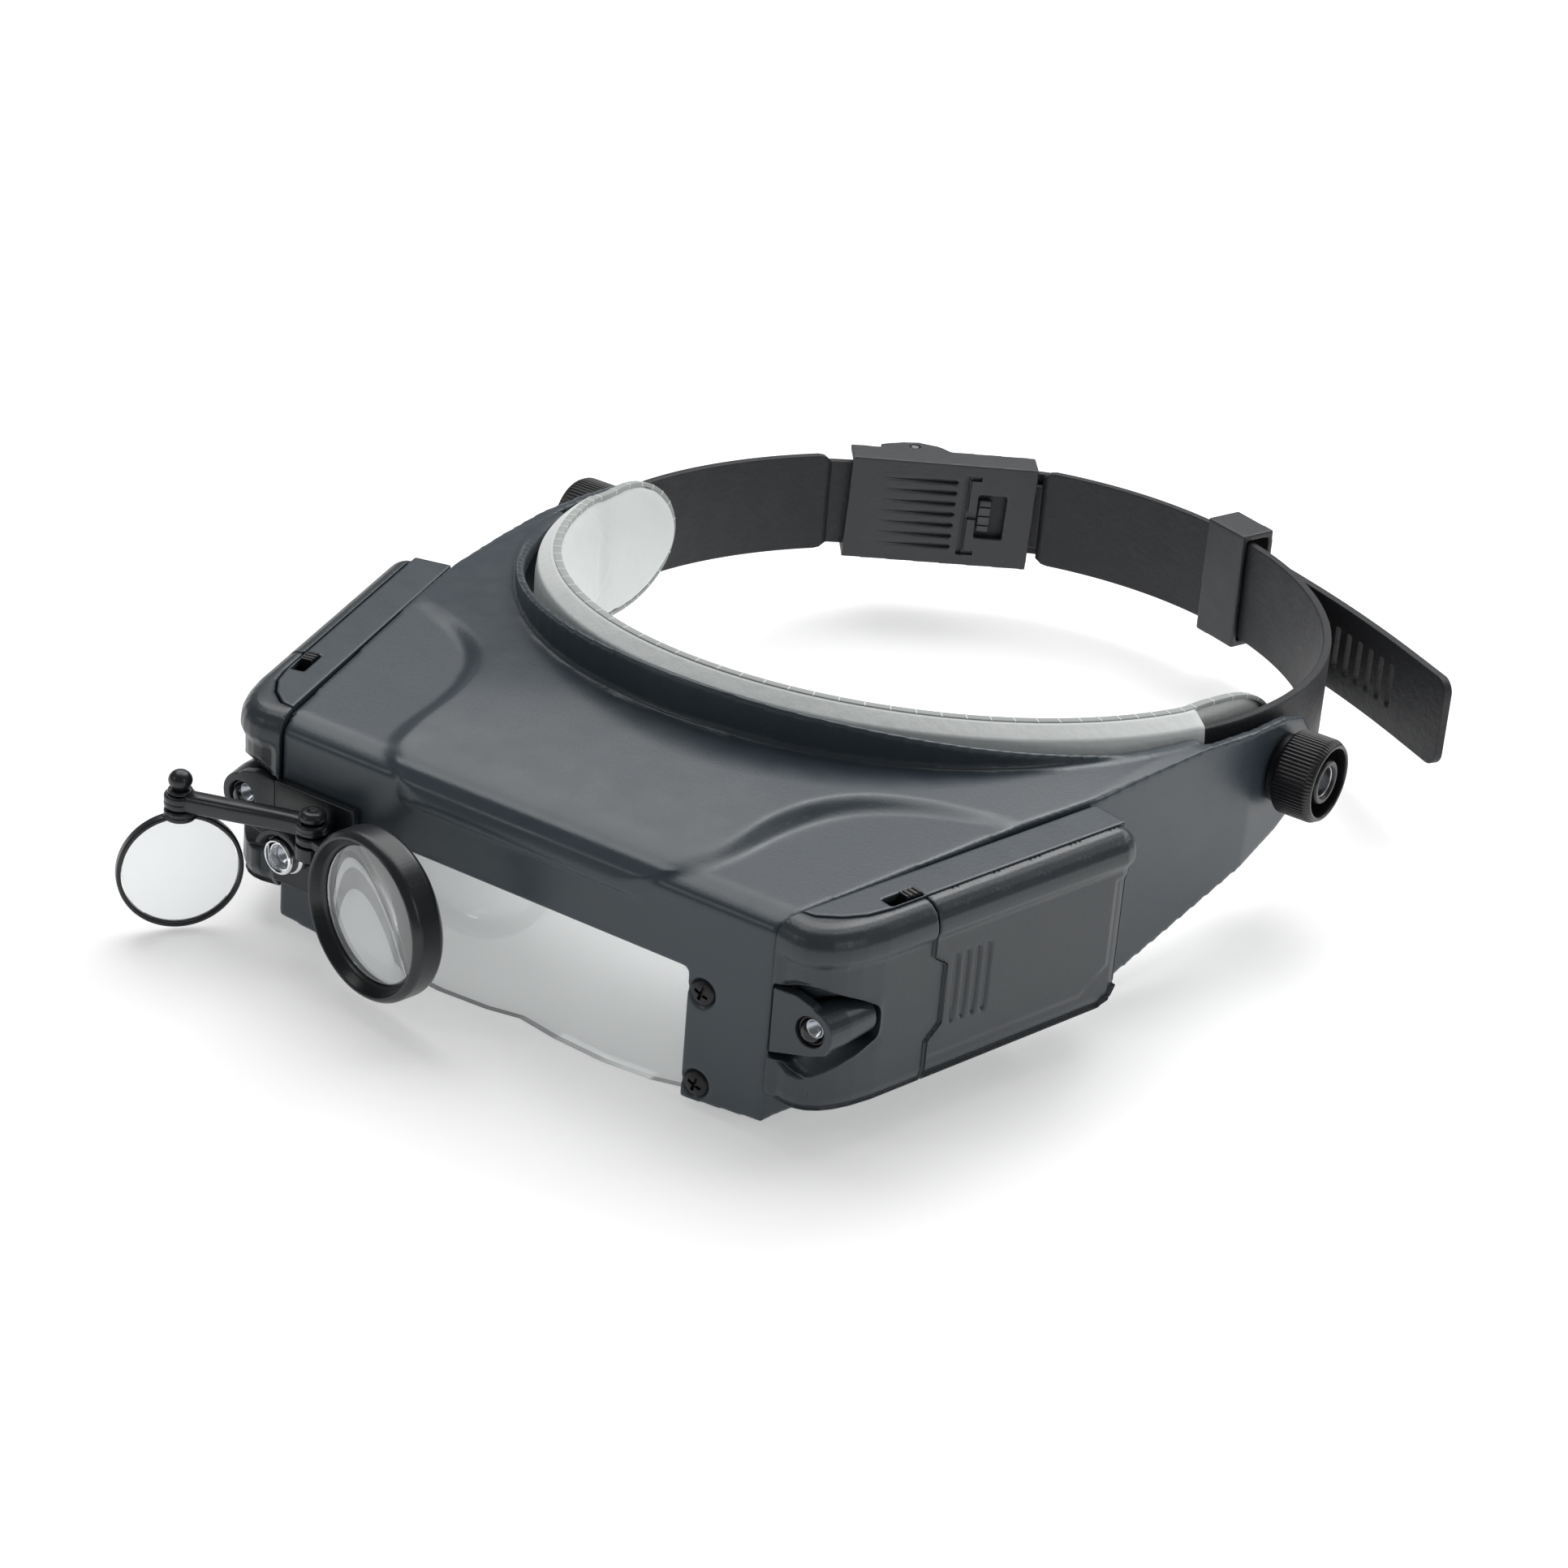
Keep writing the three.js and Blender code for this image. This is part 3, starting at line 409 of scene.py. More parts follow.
def visor_mesh():
    mesh = moulded("visor_shell", 0.5, 5)
    co = coordinates(mesh)
    normals = np.empty(len(mesh.vertices) * 3)
    mesh.vertices.foreach_get("normal", normals)
    normals = normals.reshape(-1, 3)
    depth, inward = step_distance(co)
    x, y, z = co.T
    base = eased(BASE_TOP, y, 0.7)
    along, across = eased(FIELD_TOP, y, 1.6), eased(FIELD_CROWN, np.abs(x), 6)
    field = -FIELD_BLEND * np.logaddexp(-along / FIELD_BLEND, -across / FIELD_BLEND)
    crisp_field = np.minimum(np.interp(y, *np.array(FIELD_TOP).T),
        np.interp(np.abs(x), *np.array(FIELD_CROWN).T))
    crisp_base = np.interp(y, *np.array(BASE_TOP).T)
    target = base + (field - base) * smooth_step(depth, -2.2, 2.4)
    facing = normals[:, 2] - 0.9 * (normals[:, :2] * inward).sum(1) * (np.abs(depth) < 3)
    crisp = np.where(depth > 0, crisp_field, crisp_base)
    near_step = (np.abs(depth) < 3) & (z > crisp_base - 0.7) & (z < crisp_field + 0.7)
    near_top = np.abs(z - crisp) < 0.8
    lip = ((x / 79.1) ** 2 + ((y - 134.3) / 90.6) ** 2) < 1.03
    chosen = (facing > 0.35) & (near_top | near_step) & (y > 1.2) & (y < 118) & ~lip
    wall = (np.abs(x) - SEAM_X) - y * math.tan(POD_ANGLE)
    weight = chosen * smooth_step(-wall, 0.4, 2.5) * smooth_step(y, 1.0, 3.5)
    co[:, 2] += weight * (target - z)
    set_coordinates(mesh, co)
    mesh = evaluated(mesh, ("SMOOTH", {"factor": 0.5, "iterations": 3}))
    return mesh


publish("visor_moulding", visor_mesh(), SHELL, "visor", ["visor_shell"])


NOSE = [(0.3, -0.7), (4.6, -0.4), (7, 0.4), (9, 1.8), (10.7, 4), (11.9, 6.8), (12.7, 10.2), (13.2, 15)]
POD_PLAN = [*NOSE, (13.2, 73.9), (12.6, 76.2), (10.9, 77.9), (8.6, 78.5)]
BEAD_Z, BEAD_STEP = -2.9, 0.95
BEAD_BLEND = 2.6
PANEL_REAR, PANEL_LOW, PANEL_STEP = 72.6, -29.2, 0.4
GRIP_DEPTH, GRIP_START, GRIP_PITCH, GRIP_HALF = 0.6, 32.85, 2.6, 0.95
LAMP_AXIS, SCOOP_REACH = Vector((65, -0.9, -17.6)), 11.5


def relieved(mesh, sign, panel=False):
    """The pod's outer wall set back below its shoulder's rounded bead; a door keeps a raised panel."""
    co = coordinates(mesh)
    normals = np.empty(len(mesh.vertices) * 3)
    mesh.vertices.foreach_get("normal", normals)
    normals = normals.reshape(-1, 3)
    cos_a, sin_a = math.cos(POD_ANGLE), math.sin(POD_ANGLE)
    x, y, z = co[:, 0] * sign - SEAM_X, co[:, 1], co[:, 2]
    p = np.stack([x * cos_a - y * sin_a, x * sin_a + y * cos_a], 1)
    facing_out = np.stack([normals[:, 0] * sign * cos_a - normals[:, 1] * sin_a,
                           normals[:, 0] * sign * sin_a + normals[:, 1] * cos_a], 1)
    best = np.full(len(p), 1e9)
    out = np.zeros((len(p), 2))
    for a, b in zip(np.array(POD_PLAN, float), np.array(POD_PLAN[1:], float)):
        ab = b - a
        t = np.clip(((p - a) @ ab) / (ab @ ab), 0, 1)[:, None]
        dist = np.linalg.norm(p - (a + t * ab), axis=1)
        near = dist < best
        best[near] = dist[near]
        out[near] = np.array([ab[1], -ab[0]]) / np.linalg.norm(ab)
    skin = smooth_step(-best, -1.3, -0.9) * smooth_step((facing_out * out).sum(1), 0.2,
        0.5) * smooth_step(p[:, 0], 0.4, 3)
    drop = BEAD_STEP * smooth_step(BEAD_Z - z, 0, BEAD_BLEND)
    if panel:
        rear = PANEL_REAR - p[:, 1]
        low = z - PANEL_LOW - np.clip(p[:, 1] - 66, 0, 9) * 0.7
        drop += PANEL_STEP * (1 - smooth_step(np.minimum(rear, low), -0.8, 0.8)) * smooth_step(-6 - z, 0,
            1.5)
        for i in range(4):
            trough = np.clip(1 - np.abs(p[:, 1] - GRIP_START - GRIP_PITCH * i) / GRIP_HALF, 0, 1)
            drop += GRIP_DEPTH * trough * smooth_step(z, -22.5 - 0.8 * i, -18 - 0.8 * i) * smooth_step(-z,
                8.8, 12)
    move = (skin * drop)[:, None] * out
    co[:, 0] -= sign * (move[:, 0] * cos_a + move[:, 1] * sin_a)
    co[:, 1] -= move[:, 1] * cos_a - move[:, 0] * sin_a
    set_coordinates(mesh, co)
    mesh = evaluated(mesh, ("SMOOTH", {"factor": 0.5, "iterations": 1}))
    return mesh if panel else softened(mesh, sign)


SCOOP = [(0, 9.4), (4, 8.3), (9, 6.7), (13.4, 4.8)]
HOOD, HOOD_RISE = [(0, 5.9), (6, 4.9), (12.8, 4.7)], 0.8
WALL_OUT = [(0, -2.4), (1.8, 0), (4, 1.8), (7, 3), (12, 4)]


def softened(mesh, sign):
    """The lamp's scoop drawn in to a shallow dish round the lamp's hood, with rounded lips."""
    ob = bpy.data.objects.new("soften_work", mesh)
    bpy.context.scene.collection.objects.link(ob)
    group = ob.vertex_groups.new(name="scoop")
    co = coordinates(mesh)
    turn = np.array([math.sin(POD_ANGLE) * sign, math.cos(POD_ANGLE), 0])
    outward = np.array([math.cos(POD_ANGLE) * sign, -math.sin(POD_ANGLE), 0])
    away = co - np.array(LAMP_AXIS) * (sign, 1, 1)
    along = away @ turn
    spoke = away - along[:, None] * turn
    radius = np.linalg.norm(spoke, axis=1)
    scoop, hood, wall = (np.interp(along, *np.array(t, float).T) for t in (SCOOP, HOOD, WALL_OUT))
    angle = np.degrees(np.arccos(np.clip(spoke @ outward / np.maximum(radius, 1e-6), -1, 1)))
    start = np.degrees(np.arccos(np.clip(wall / scoop, -1, 1)))
    hood += HOOD_RISE * spoke[:, 2] / np.maximum(radius, 1e-6)
    inside = (np.abs(radius - scoop) < 0.9) & (along < 13.9) & (angle > start - 4)
    share = inside * smooth_step(angle - start, -6, 34) * smooth_step(along, 1.6, 2.6)
    co += (share * (hood - scoop) / np.maximum(radius, 1e-6))[:, None] * spoke
    set_coordinates(mesh, co)
    weight = smooth_step(SCOOP_REACH - radius, 0, 1.5) * smooth_step(16 - along, 0,
        1.5) * smooth_step(along, 0.6, 1.6)
    for level in range(1, 11):
        chosen = np.nonzero((weight > (level - 0.5) / 10) & (weight <= (level + 0.5) / 10))[0]
        group.add(chosen.tolist(), level / 10, "REPLACE")
    smooth = ob.modifiers.new("smooth", "SMOOTH")
    smooth.factor, smooth.iterations, smooth.vertex_group = 0.5, 45, "scoop"
    done = bpy.data.meshes.new_from_object(ob.evaluated_get(bpy.context.evaluated_depsgraph_get()))
    bpy.data.objects.remove(ob)
    return done


for side, sign in SIDES:
    publish(f"pod_case_moulding_{side}", relieved(moulded(f"pod_case_{side}", 0.32, 5), sign), CASE,
        "visor",
            [f"pod_case_{side}"])
    publish(f"pod_top_cover_moulding_{side}", moulded(f"pod_top_cover_{side}", 0.25, 2), SHELL, "visor",
            [f"pod_top_cover_{side}"])
    publish(f"battery_door_moulding_{side}", relieved(moulded(f"battery_door_{side}", 0.28, 5), sign,
        True), CASE,
            f"door_{side}", [f"battery_door_{side}"])
    publish(f"lamp_holder_moulding_{side}", moulded(f"lamp_holder_{side}", 0.2, 5), CASE, f"lamp_{side}",
            [f"lamp_holder_{side}"])
    publish(f"switch_moulding_{side}", moulded(f"switch_slider_{side}", 0.1, 2), KNOB, f"switch_{side}",
            [f"switch_slider_{side}"])

# ---- lenses, screws and lamps ----
LENS_FRONT, LENS_BACK = 2.5, 5.1


def main_lens():
    xs = np.linspace(-38, 38, 153)
    edge = lambda x: float(np.interp(abs(x), (0, 8, 19, 30, 37, 38),
        (-41.4, -42.5, -43, -42.3, -41, -40.9)))
    rows = 64
    front, back = [], []
    for x in xs:
        for k in range(rows + 1):
            z = -12.6 + (edge(x) + 12.6) * k / rows
            bulge = max(60 ** 2 - (abs(x) - 18.8) ** 2 - (z + 27) ** 2, 0)
            front.append((x, min(LENS_FRONT, 63.1 - math.sqrt(bulge)), z))
            back.append((x, LENS_BACK, z))
    width, count = rows + 1, len(front)
    verts = [TO_FRAME @ Vector(p) for p in front + back]
    faces = []
    for i in range(len(xs) - 1):
        for k in range(rows):
            a = i * width + k
            faces.append((a, a + 1, a + width + 1, a + width))
            faces.append((count + a, count + a + width, count + a + width + 1, count + a + 1))
    rim = [i * width for i in range(len(xs))] + [(len(xs) - 1) * width + k for k in range(1, width)]
    rim += [i * width + rows for i in range(len(xs) - 2, -1, -1)] + list(range(rows - 1, 0, -1))
    for a, b in zip(rim, rim[1:] + rim[:1]):
        faces.append((a, b, count + b, count + a))
    return mesh_of("main_lens", verts, faces)


def sharp_edges(ob, angle=35):
    bm = bmesh.new()
    bm.from_mesh(ob.data)
    for e in bm.edges:
        e.smooth = len(e.link_faces) == 2 and e.calc_face_angle() < math.radians(angle)
    bm.to_mesh(ob.data)
    bm.free()
    return ob


sharp_edges(publish("main_lens_glass", main_lens(), WINDOW, "visor", ["main_lens"]))


def facing(yaw):
    return Vector((math.sin(math.radians(yaw)), -math.cos(math.radians(yaw)), 0))


def biconvex(name, at, yaw, r, rim, bulge):
    profile = [(r * k / 16, -rim / 2 - bulge * (1 - (k / 16) ** 2)) for k in range(17)]
    return lathe(name, profile + [(a, -h) for a, h in reversed(profile)], at, facing(yaw), 96)


LOUPE_AT, LOUPE_YAW = (-22.7, -12.6, -21.5), -12.6
SMALL_AT, SMALL_YAW = (-70.2, -12.3, -29.9), 51
PIN1, PIN2 = (-43, -6.5), (-70.2, -12.3)
UP = (0, 0, 1)

sharp_edges(publish("loupe_glass", biconvex("loupe_glass", LOUPE_AT, LOUPE_YAW, 13.2, 1.6, 1.3), CLEAR,
    "loupe",
                    ["loupe_lens"]))
sharp_edges(publish("small_loupe_glass", biconvex("small_loupe_glass", SMALL_AT, SMALL_YAW, 11, 0.8, 0.7),
    CLEAR,
                    "small_loupe", ["small_loupe_lens"]))


def knuckle(at, low, high, r=3.1):
    mid = (low + high) / 2
    profile = [(1.4, low), (r - 0.3, low), (r, low + 0.35), (r, mid - 0.16), (r - 0.22, mid),
        (r, mid + 0.16), (r, high - 0.35),
               (r - 0.3, high), (1.4, high)]
    return lathe("knuckle", profile, (*at, 0), UP, 64, closed=True)


def loupe_frame():
    ring = lathe("ring", rounded([(13.5, -3.5), (15.5, -3.5), (16.5, -2.4), (16.5, 2.3), (15.6, 3.5),
        (15.1, 3.5), (14.1, 1.3),
                                  (13.5, 1.0)], 0.6, closed=True), LOUPE_AT, facing(LOUPE_YAW), 128,
                                  closed=True)
    a = math.atan2(LOUPE_AT[1] - PIN1[1], LOUPE_AT[0] - PIN1[0])
    web = block((2.2, -1.7, -16.5), (6.8, 1.7, -14.7),
        TO_FRAME @ Matrix.Translation((*PIN1, 0)) @ Matrix.Rotation(a, 4, "Z"))
    return fused("loupe_frame", [ring, web, knuckle(PIN1, -16.5, -14.7)], 0.16, 4)


def small_frame():
    ring = lathe("ring", rounded([(11.2, -1.1), (11.9, -1.1), (12.1, -0.8), (12.1, 0.8), (11.9, 1.1),
        (11.2, 1.1)], 0.3,
                                 closed=True), SMALL_AT, facing(SMALL_YAW), 128, closed=True)
    return fused("small_frame", [ring, knuckle(PIN2, -18.9, -16.7)], 0.14, 3)


def link_frame():
    path, _ = spline([(PIN1[0] - 1.2, PIN1[1] - 0.4, -13.3), (-47.6, -7.7, -13.3), (-52.5, -9.0, -13.5),
        (-58, -10.2, -14.0),
                      (-64, -11.2, -14.6), (PIN2[0] + 1.5, PIN2[1] + 0.2, -15)], 0.5)
    loops = []
    for i, p in enumerate(path):
        t = Vector(path[min(i + 1, len(path) - 1)] - path[max(i - 1, 0)]).normalized()
        out = t.cross(Vector(UP)).normalized()
        lift = out.cross(t)
        loop = []
        for k in range(24):
            a = 2 * math.pi * k / 24
            c, s = math.cos(a), math.sin(a)
            wide, tall = 2.05 * abs(c) ** 0.7 * math.copysign(1, c), 2.0 * abs(s) ** 0.7 * math.copysign(1,
                s)
            loop.append(Vector(p) + out * wide + lift * tall)
        loops.append(loop)
    return fused("link", [sweep("bar", loops), knuckle(PIN1, -14.4, -12.2), knuckle(PIN2, -16.4, -13.6)],
        0.14, 4)


publish("loupe_frame", loupe_frame(), RING, "loupe", ["loupe_ring"])
publish("small_loupe_frame", small_frame(), RING, "small_loupe", ["small_loupe_ring"])
publish("link_frame", link_frame(), RING, "link", ["link_arm"])
publish("loupe_bracket_moulding", moulded("loupe_bracket", 0.18, 4), RING, "visor", ["loupe_bracket"])
tidy_normals(publish("loupe_pin_head", lathe("loupe_pin_head", rounded(
    [(0, -20.2), (1.2, -20.2), (1.2, -11.9), (2.3, -11.9), (2.65, -11.4), (2.65, -10.7), (1.9, -9.9),
    (0.9, -9.85), (0.7, -10.15),
     (0, -10.15)], 0.4), (*PIN1, 0), UP), RING, "visor", ["loupe_pin"]))
ball = [(2.3 * math.sin(math.radians(a)), -10.9 + 2.0 * math.cos(math.radians(a))) for a in range(0, 150,
    8)]
tidy_normals(publish("link_pin_ball", lathe("link_pin_ball", ball + rounded(
    [(1.15, -12.55), (1.2, -12.7), (2.3, -12.75), (2.5, -13.3), (1.2, -13.35), (1.2, -16.6), (0, -16.6)],
    0.15),
    (*PIN2, 0), UP), RING, "link", ["link_pin"]))


def lens_screw(x, z):
    head = lathe("screw", rounded([(0, -0.35), (1.3, -0.22), (2.3, 0.1), (2.6, 0.5), (2.6, 0.72),
        (1.2, 0.75), (1.2, 9.6),
                                   (0, 10.2)], 0.2), (x, 0, z), (0, 1, 0), 48)
    m = TO_FRAME @ Matrix.Translation((x, 0, z)) @ Matrix.Rotation(math.radians(20), 4, "Y")
    return cut(head, [block((-1.5, -1, -0.32), (1.5, 0.55, 0.32), m),
        block((-0.32, -1, -1.5), (0.32, 0.55, 1.5), m)])


for side, sign in SIDES:
    for level, z in (("upper", -18.7), ("lower", -37.5)):
        node = f"lens_screw_{level}_{side}"
        ob = publish(f"{node}_head", lens_screw(41.3 * sign, z), SCREW, "visor", [node])
        sharp_edges(ob, 40)
    publish(f"lens_clamp_moulding_{side}", moulded(f"lens_clamp_{side}", 0.2, 2), CASE, "visor",
        [f"lens_clamp_{side}"])


LED_R = 2.35


def led(name, at, axis, body, node, bowl_material):
    dome = [(LED_R * math.sin(math.radians(a)), -LED_R * math.cos(math.radians(a))) for a in range(0, 91,
        6)]
    bulb = lathe(name, dome + [(LED_R, 0.6), (LED_R, 1.1), (2.1, 1.2), (2.1, 4.6), (0, 4.6)], at, axis, 48)
    sharp_edges(publish(f"{name}_epoxy", bulb, EPOXY, body, [node]))
    cup = lathe("cup", [(0, 1.3), (0.55, 1.3), (0.95, 0.5), (1.15, 0.5), (1.15, 1.9), (0.5, 2.1),
        (0.5, 4.3), (0, 4.3)], at, axis, 32)
    publish(f"{name}_cup", cup, STEEL, body)
    bowl = rounded([(2.42, -0.4), (2.75, -0.4), (2.75, 1.5), (1.25, 1.5), (1.25, 1.35), (2.42, 0.2)], 0.08,
        2, closed=True)
    tidy_normals(publish(f"{name}_bowl", lathe("bowl", bowl, at, axis, 64, closed=True), bowl_material,
        body))
    m = TO_FRAME @ axis_matrix(at, axis)
    publish(f"{name}_post", block((1.3, -0.25, 0.9), (1.75, 0.25, 4.3), m), STEEL, body)


BEZEL = (-51.2, -2.8, -23)
for side, sign in SIDES:
    led(f"lamp_{side}", (65 * sign, 0.2, -16.8), (0, 1, 0), f"lamp_{side}", f"lamp_led_{side}", KNOB)
led("lamp_centre", (BEZEL[0], BEZEL[1] - 2.6, BEZEL[2]), facing(174), "visor", "lamp_led_centre", CHROME)
bezel = rounded([(2.9, 0), (4.2, 0), (4.2, 0.9), (3.75, 1.3), (3.65, 3.1), (3.3, 3.6), (3.0, 3.6),
    (2.75, 2.6)], 0.2, closed=True)
tidy_normals(publish("lamp_bezel_ring", lathe("lamp_bezel_ring", bezel, BEZEL, facing(-6), 96,
    closed=True), CHROME, "visor",
                     ["lamp_bezel"]))

# ---- knobs ----
PIVOT_Y, PIVOT_Z, ARM_OUT = 139, -12.2, 81.6
RIBS = 66
knob_profile = rounded([(3.15, 0), (7.0, 0), (7.0, 1.5), (7.9, 1.7), (8.6, 2.4), (8.6, 9.0), (7.8, 10.4),
    (7.1, 10.4), (7.0, 9.8),
                        (7.0, 5.6), (4.7, 5.6), (4.6, 9.4), (4.3, 9.9), (3.5, 9.9), (3.15, 9.4)], 0.3, 3,
                        closed=True)


def ribbing(a, r, h):
    return -0.24 * (0.5 + 0.5 * math.cos(RIBS * a)) ** 1.5 * (r > 7.95) * (2.1 < h < 9.3)


for side, sign in SIDES:
    knob = lathe(f"knob_{side}", knob_profile, (sign * (ARM_OUT + 0.3), PIVOT_Y, PIVOT_Z), (sign, 0, 0),
        RIBS * 8, closed=True,
                 wave=ribbing)
    sharp_edges(publish(f"knurled_knob_{side}", knob, KNOB, f"knob_{side}", [f"pivot_knob_{side}"]), 50)
    insert = [(3.12, 9.3), (3.12, 7.1)]
    for k in range(8):
        insert += [(2.85, 7.0 + 0.28 * k + 0.1), (3.05, 7.0 + 0.28 * k + 0.24)]
    ring = lathe(f"insert_{side}", insert, (sign * (ARM_OUT + 0.3), PIVOT_Y, PIVOT_Z), (sign, 0, 0), 48,
        closed=True)
    publish(f"knob_insert_{side}", ring, STEEL, f"knob_{side}")
    washer = rounded([(3.3, -1.4), (8, -1.4), (8, -0.5), (3.3, -0.5)], 0.25, closed=True)
    tidy_normals(publish(f"washer_disc_{side}",
        lathe(f"washer_{side}", washer, (sign * 79.4, PIVOT_Y, PIVOT_Z), (sign, 0, 0), 96,
                 closed=True), KNOB, "headband", [f"pivot_washer_{side}"]))

# ---- strap ----
BAND_X, BAND_REAR, BAND_FRONT, BAND_Y, HALF = 76.8, 83.4, 92.5, 143, 0.9


def band_z(y):
    return -11.85 - 0.105 * (y - 139) + 0.0003 * (y - 139) ** 2


def band_point(angle, offset=0.0):
    a = math.radians(angle)
    b = BAND_REAR if math.sin(a) > 0 else BAND_FRONT
    n = Vector((math.cos(a) / BAND_X, math.sin(a) / b)).normalized()
    return (BAND_X * math.cos(a) + n.x * offset, BAND_Y + b * math.sin(a) + n.y * offset)


def ribbon(name, line, half_height, outer=HALF, inner=-HALF, radius=0.45):
    """A strap of rounded section swept along a plan line; half_height(share of its length)."""
    loops = []
    for i, p in enumerate(line):
        a, b = Vector(line[max(0, i - 1)][:2]), Vector(line[min(len(line) - 1, i + 1)][:2])
        t = (b - a).normalized()
        n = Vector((t.y, -t.x))
        h = half_height(i / (len(line) - 1))
        corner = rounded([(inner, -h), (outer, -h), (outer, h), (inner, h)], radius, 3, closed=True)
        z = band_z(p[1])
        loops.append([(p[0] + n.x * d, p[1] + n.y * d, z + v) for d, v in corner])
    return sweep(name, loops)


def band_line(start, end, step=1.5, offset=0.0):
    count = int(abs(end - start) / step)
    return [band_point(start + (end - start) * k / count, offset) for k in range(count + 1)]


def end_chamfer(share):
    return 11.25 - 1.4 * max(0, 1 - (1 - share) * 260) - 1.4 * max(0, 1 - share * 260)


tidy_normals(publish("strap_band", ribbon("strap_band", list(reversed(band_line(108.4, -216.2, 1.0))),
    end_chamfer), STRAP,
                     "headband", ["head_strap"]))

BUCKLE_AT, BUCKLE_TURN, BUCKLE_TILT = (-42.1, 207.8), math.radians(38), math.radians(2.1)
BUCKLE_FRAME = (Matrix.Translation((*BUCKLE_AT, band_z(BUCKLE_AT[1]))) @ Matrix.Rotation(BUCKLE_TURN, 4,
    "Z")
                @ Matrix.Rotation(BUCKLE_TILT, 4, "Y"))


def buckle_point(t, v):
    p = BUCKLE_FRAME @ Vector((t, v, 0))
    return (p.x, p.y)


neck = [buckle_point(1, 0.2), buckle_point(14, 0.6), band_point(110), band_point(108)]
neck_line, _ = spline([(x, y, 0) for x, y in neck], 1.0)
tidy_normals(publish("strap_neck", ribbon("strap_neck", [tuple(p) for p in neck_line[::-1]],
    lambda share: 7.5), STRAP,
                     "headband"))

TAIL = [(33, 219.2), (44, 214.4), (55, 209.2), (66, 203.4), (78, 196.3), (94.5, 185.6)]
SLOTS = [i for i in range(22, 40) if not 27 <= i <= 30]


def strap_tongue():
    lead = [band_point(144.2), band_point(143.2),
        *(buckle_point(*p) for p in ((-14, 1.1), (-7, 2), (0, 2.6), (12, 3.3)))]
    over = [band_point(108 - 6 * k, 2.6) for k in range(6)]
    points, length = spline([(x, y, 0) for x, y in [*lead, *over, *TAIL]], 0.25)
    run = np.linspace(0, length, len(points))
    centres = [length * i / 44 for i in SLOTS]
    us = sorted({round(float(u), 3) for u in [*np.arange(0, length, 1.2),
        *np.linspace(length - 3.4, length - 0.02, 14)]
                 if all(abs(u - c) > 1.0 for c in centres)}
                | {round(c + d, 3) for c in centres for d in (-0.85, -0.55, 0.55, 0.85)})
    vs = [-9.8, -8.4, -7, -5.6, -4.75, -4.3, -2.2, 0, 2.2, 4.3, 4.75, 5.6, 7, 8.4, 9.8]
    verts, faces, index = [], [], {}
    for i, u in enumerate(us):
        x, y = np.interp(u, run, points[:, 0]), np.interp(u, run, points[:, 1])
        left = length - u
        scale = 1 - (0.33 * (1 - math.sqrt(max(0, 1 - ((3.4 - left) / 3.4) ** 2))) if left < 3.4 else 0)
        for k, v in enumerate(vs):
            near = min(centres, key=lambda c: abs(c - u))
            squeeze = 1.0
            if abs(abs(v) - 4.75) < 0.01 and abs(abs(u - near) - 0.85) < 0.01:
                squeeze = 4.4 / 4.75
            index[i, k] = len(verts)
            verts.append(TO_FRAME @ Vector((x, y, band_z(y) + v * scale * squeeze)))
    for i in range(len(us) - 1):
        mid = (us[i] + us[i + 1]) / 2
        for k in range(len(vs) - 1):
            hole = min(abs(mid - c) for c in centres) < 0.85 and abs(vs[k] + vs[k + 1]) / 2 < 4.75
            if not hole:
                faces.append((index[i, k], index[i + 1, k], index[i + 1, k + 1], index[i, k + 1]))
    mesh = mesh_of("strap_tongue", verts, faces)
    mesh = evaluated(mesh, ("SOLIDIFY", {"thickness": 2 * HALF * MM, "offset": 0}),
                     ("BEVEL", {"width": 0.28 * MM, "segments": 2, "limit_method": "ANGLE",
                     "angle_limit": math.radians(50)}))
    mesh.polygons.foreach_set("use_smooth", [True] * len(mesh.polygons))
    return mesh


tidy_normals(publish("strap_tongue", strap_tongue(), STRAP, "headband"))
publish("strap_keeper_loop", moulded("strap_keeper", 0.25, 14), BUCKLE, "keeper_loop", ["strap_keeper"])


def buckle_mesh():
    """The buckle's frame with its tapered finger grooves cut sharp."""
    grooves = []
    for i in range(7):
        z = -7.8 + 2.6 * i
        loops = []
        for t, wide, deep in ((-13.6, 0.12, 0.05), (-8, 0.45, 0.4), (-2, 0.85, 0.85), (1.6, 1.1, 1.1),
                (2.7, 1.0, 1.1), (3.2, 0.5, 1.0)):
            loops.append([(t, -3, z - wide / 2), (t, -3, z + wide / 2), (t, -2.3 + deep, z + wide / 3),
                (t, -2.3 + deep, z - wide / 3)])
        grooves.append(sweep("groove", loops, TO_FRAME @ BUCKLE_FRAME))
    bars = [((5.6, -3, -0.9), (8.6, -1.4, 0.9)), ((4.6, -3, 8.4), (8.4, -1.4, 9.5)),
        ((4.6, -3, -9.5), (8.4, -1.4, -8.4)),
            ((4.6, -3, -9.5), (5.8, -1.0, 9.5))]
    return cut(moulded("buckle_base", 0.22, 6),
        grooves + [block(*bar, TO_FRAME @ BUCKLE_FRAME) for bar in bars])


def strap_catch():
    """The strap's toothed catch, seen through the buckle's window."""
    m = TO_FRAME @ BUCKLE_FRAME
    gaps = [block((8.2, -2.2, z - 0.2), (11.6, -1.45, z + 0.2), m) for z in (-2.2, 0, 2.2)]
    return cut(rounded_block((8.5, -1.9, -3.8), (11.3, -0.7, 3.8), m), gaps)


def rounded_block(low, high, matrix):
    return evaluated(block(low, high, matrix), ("BEVEL", {"width": 0.35 * MM, "segments": 3}))


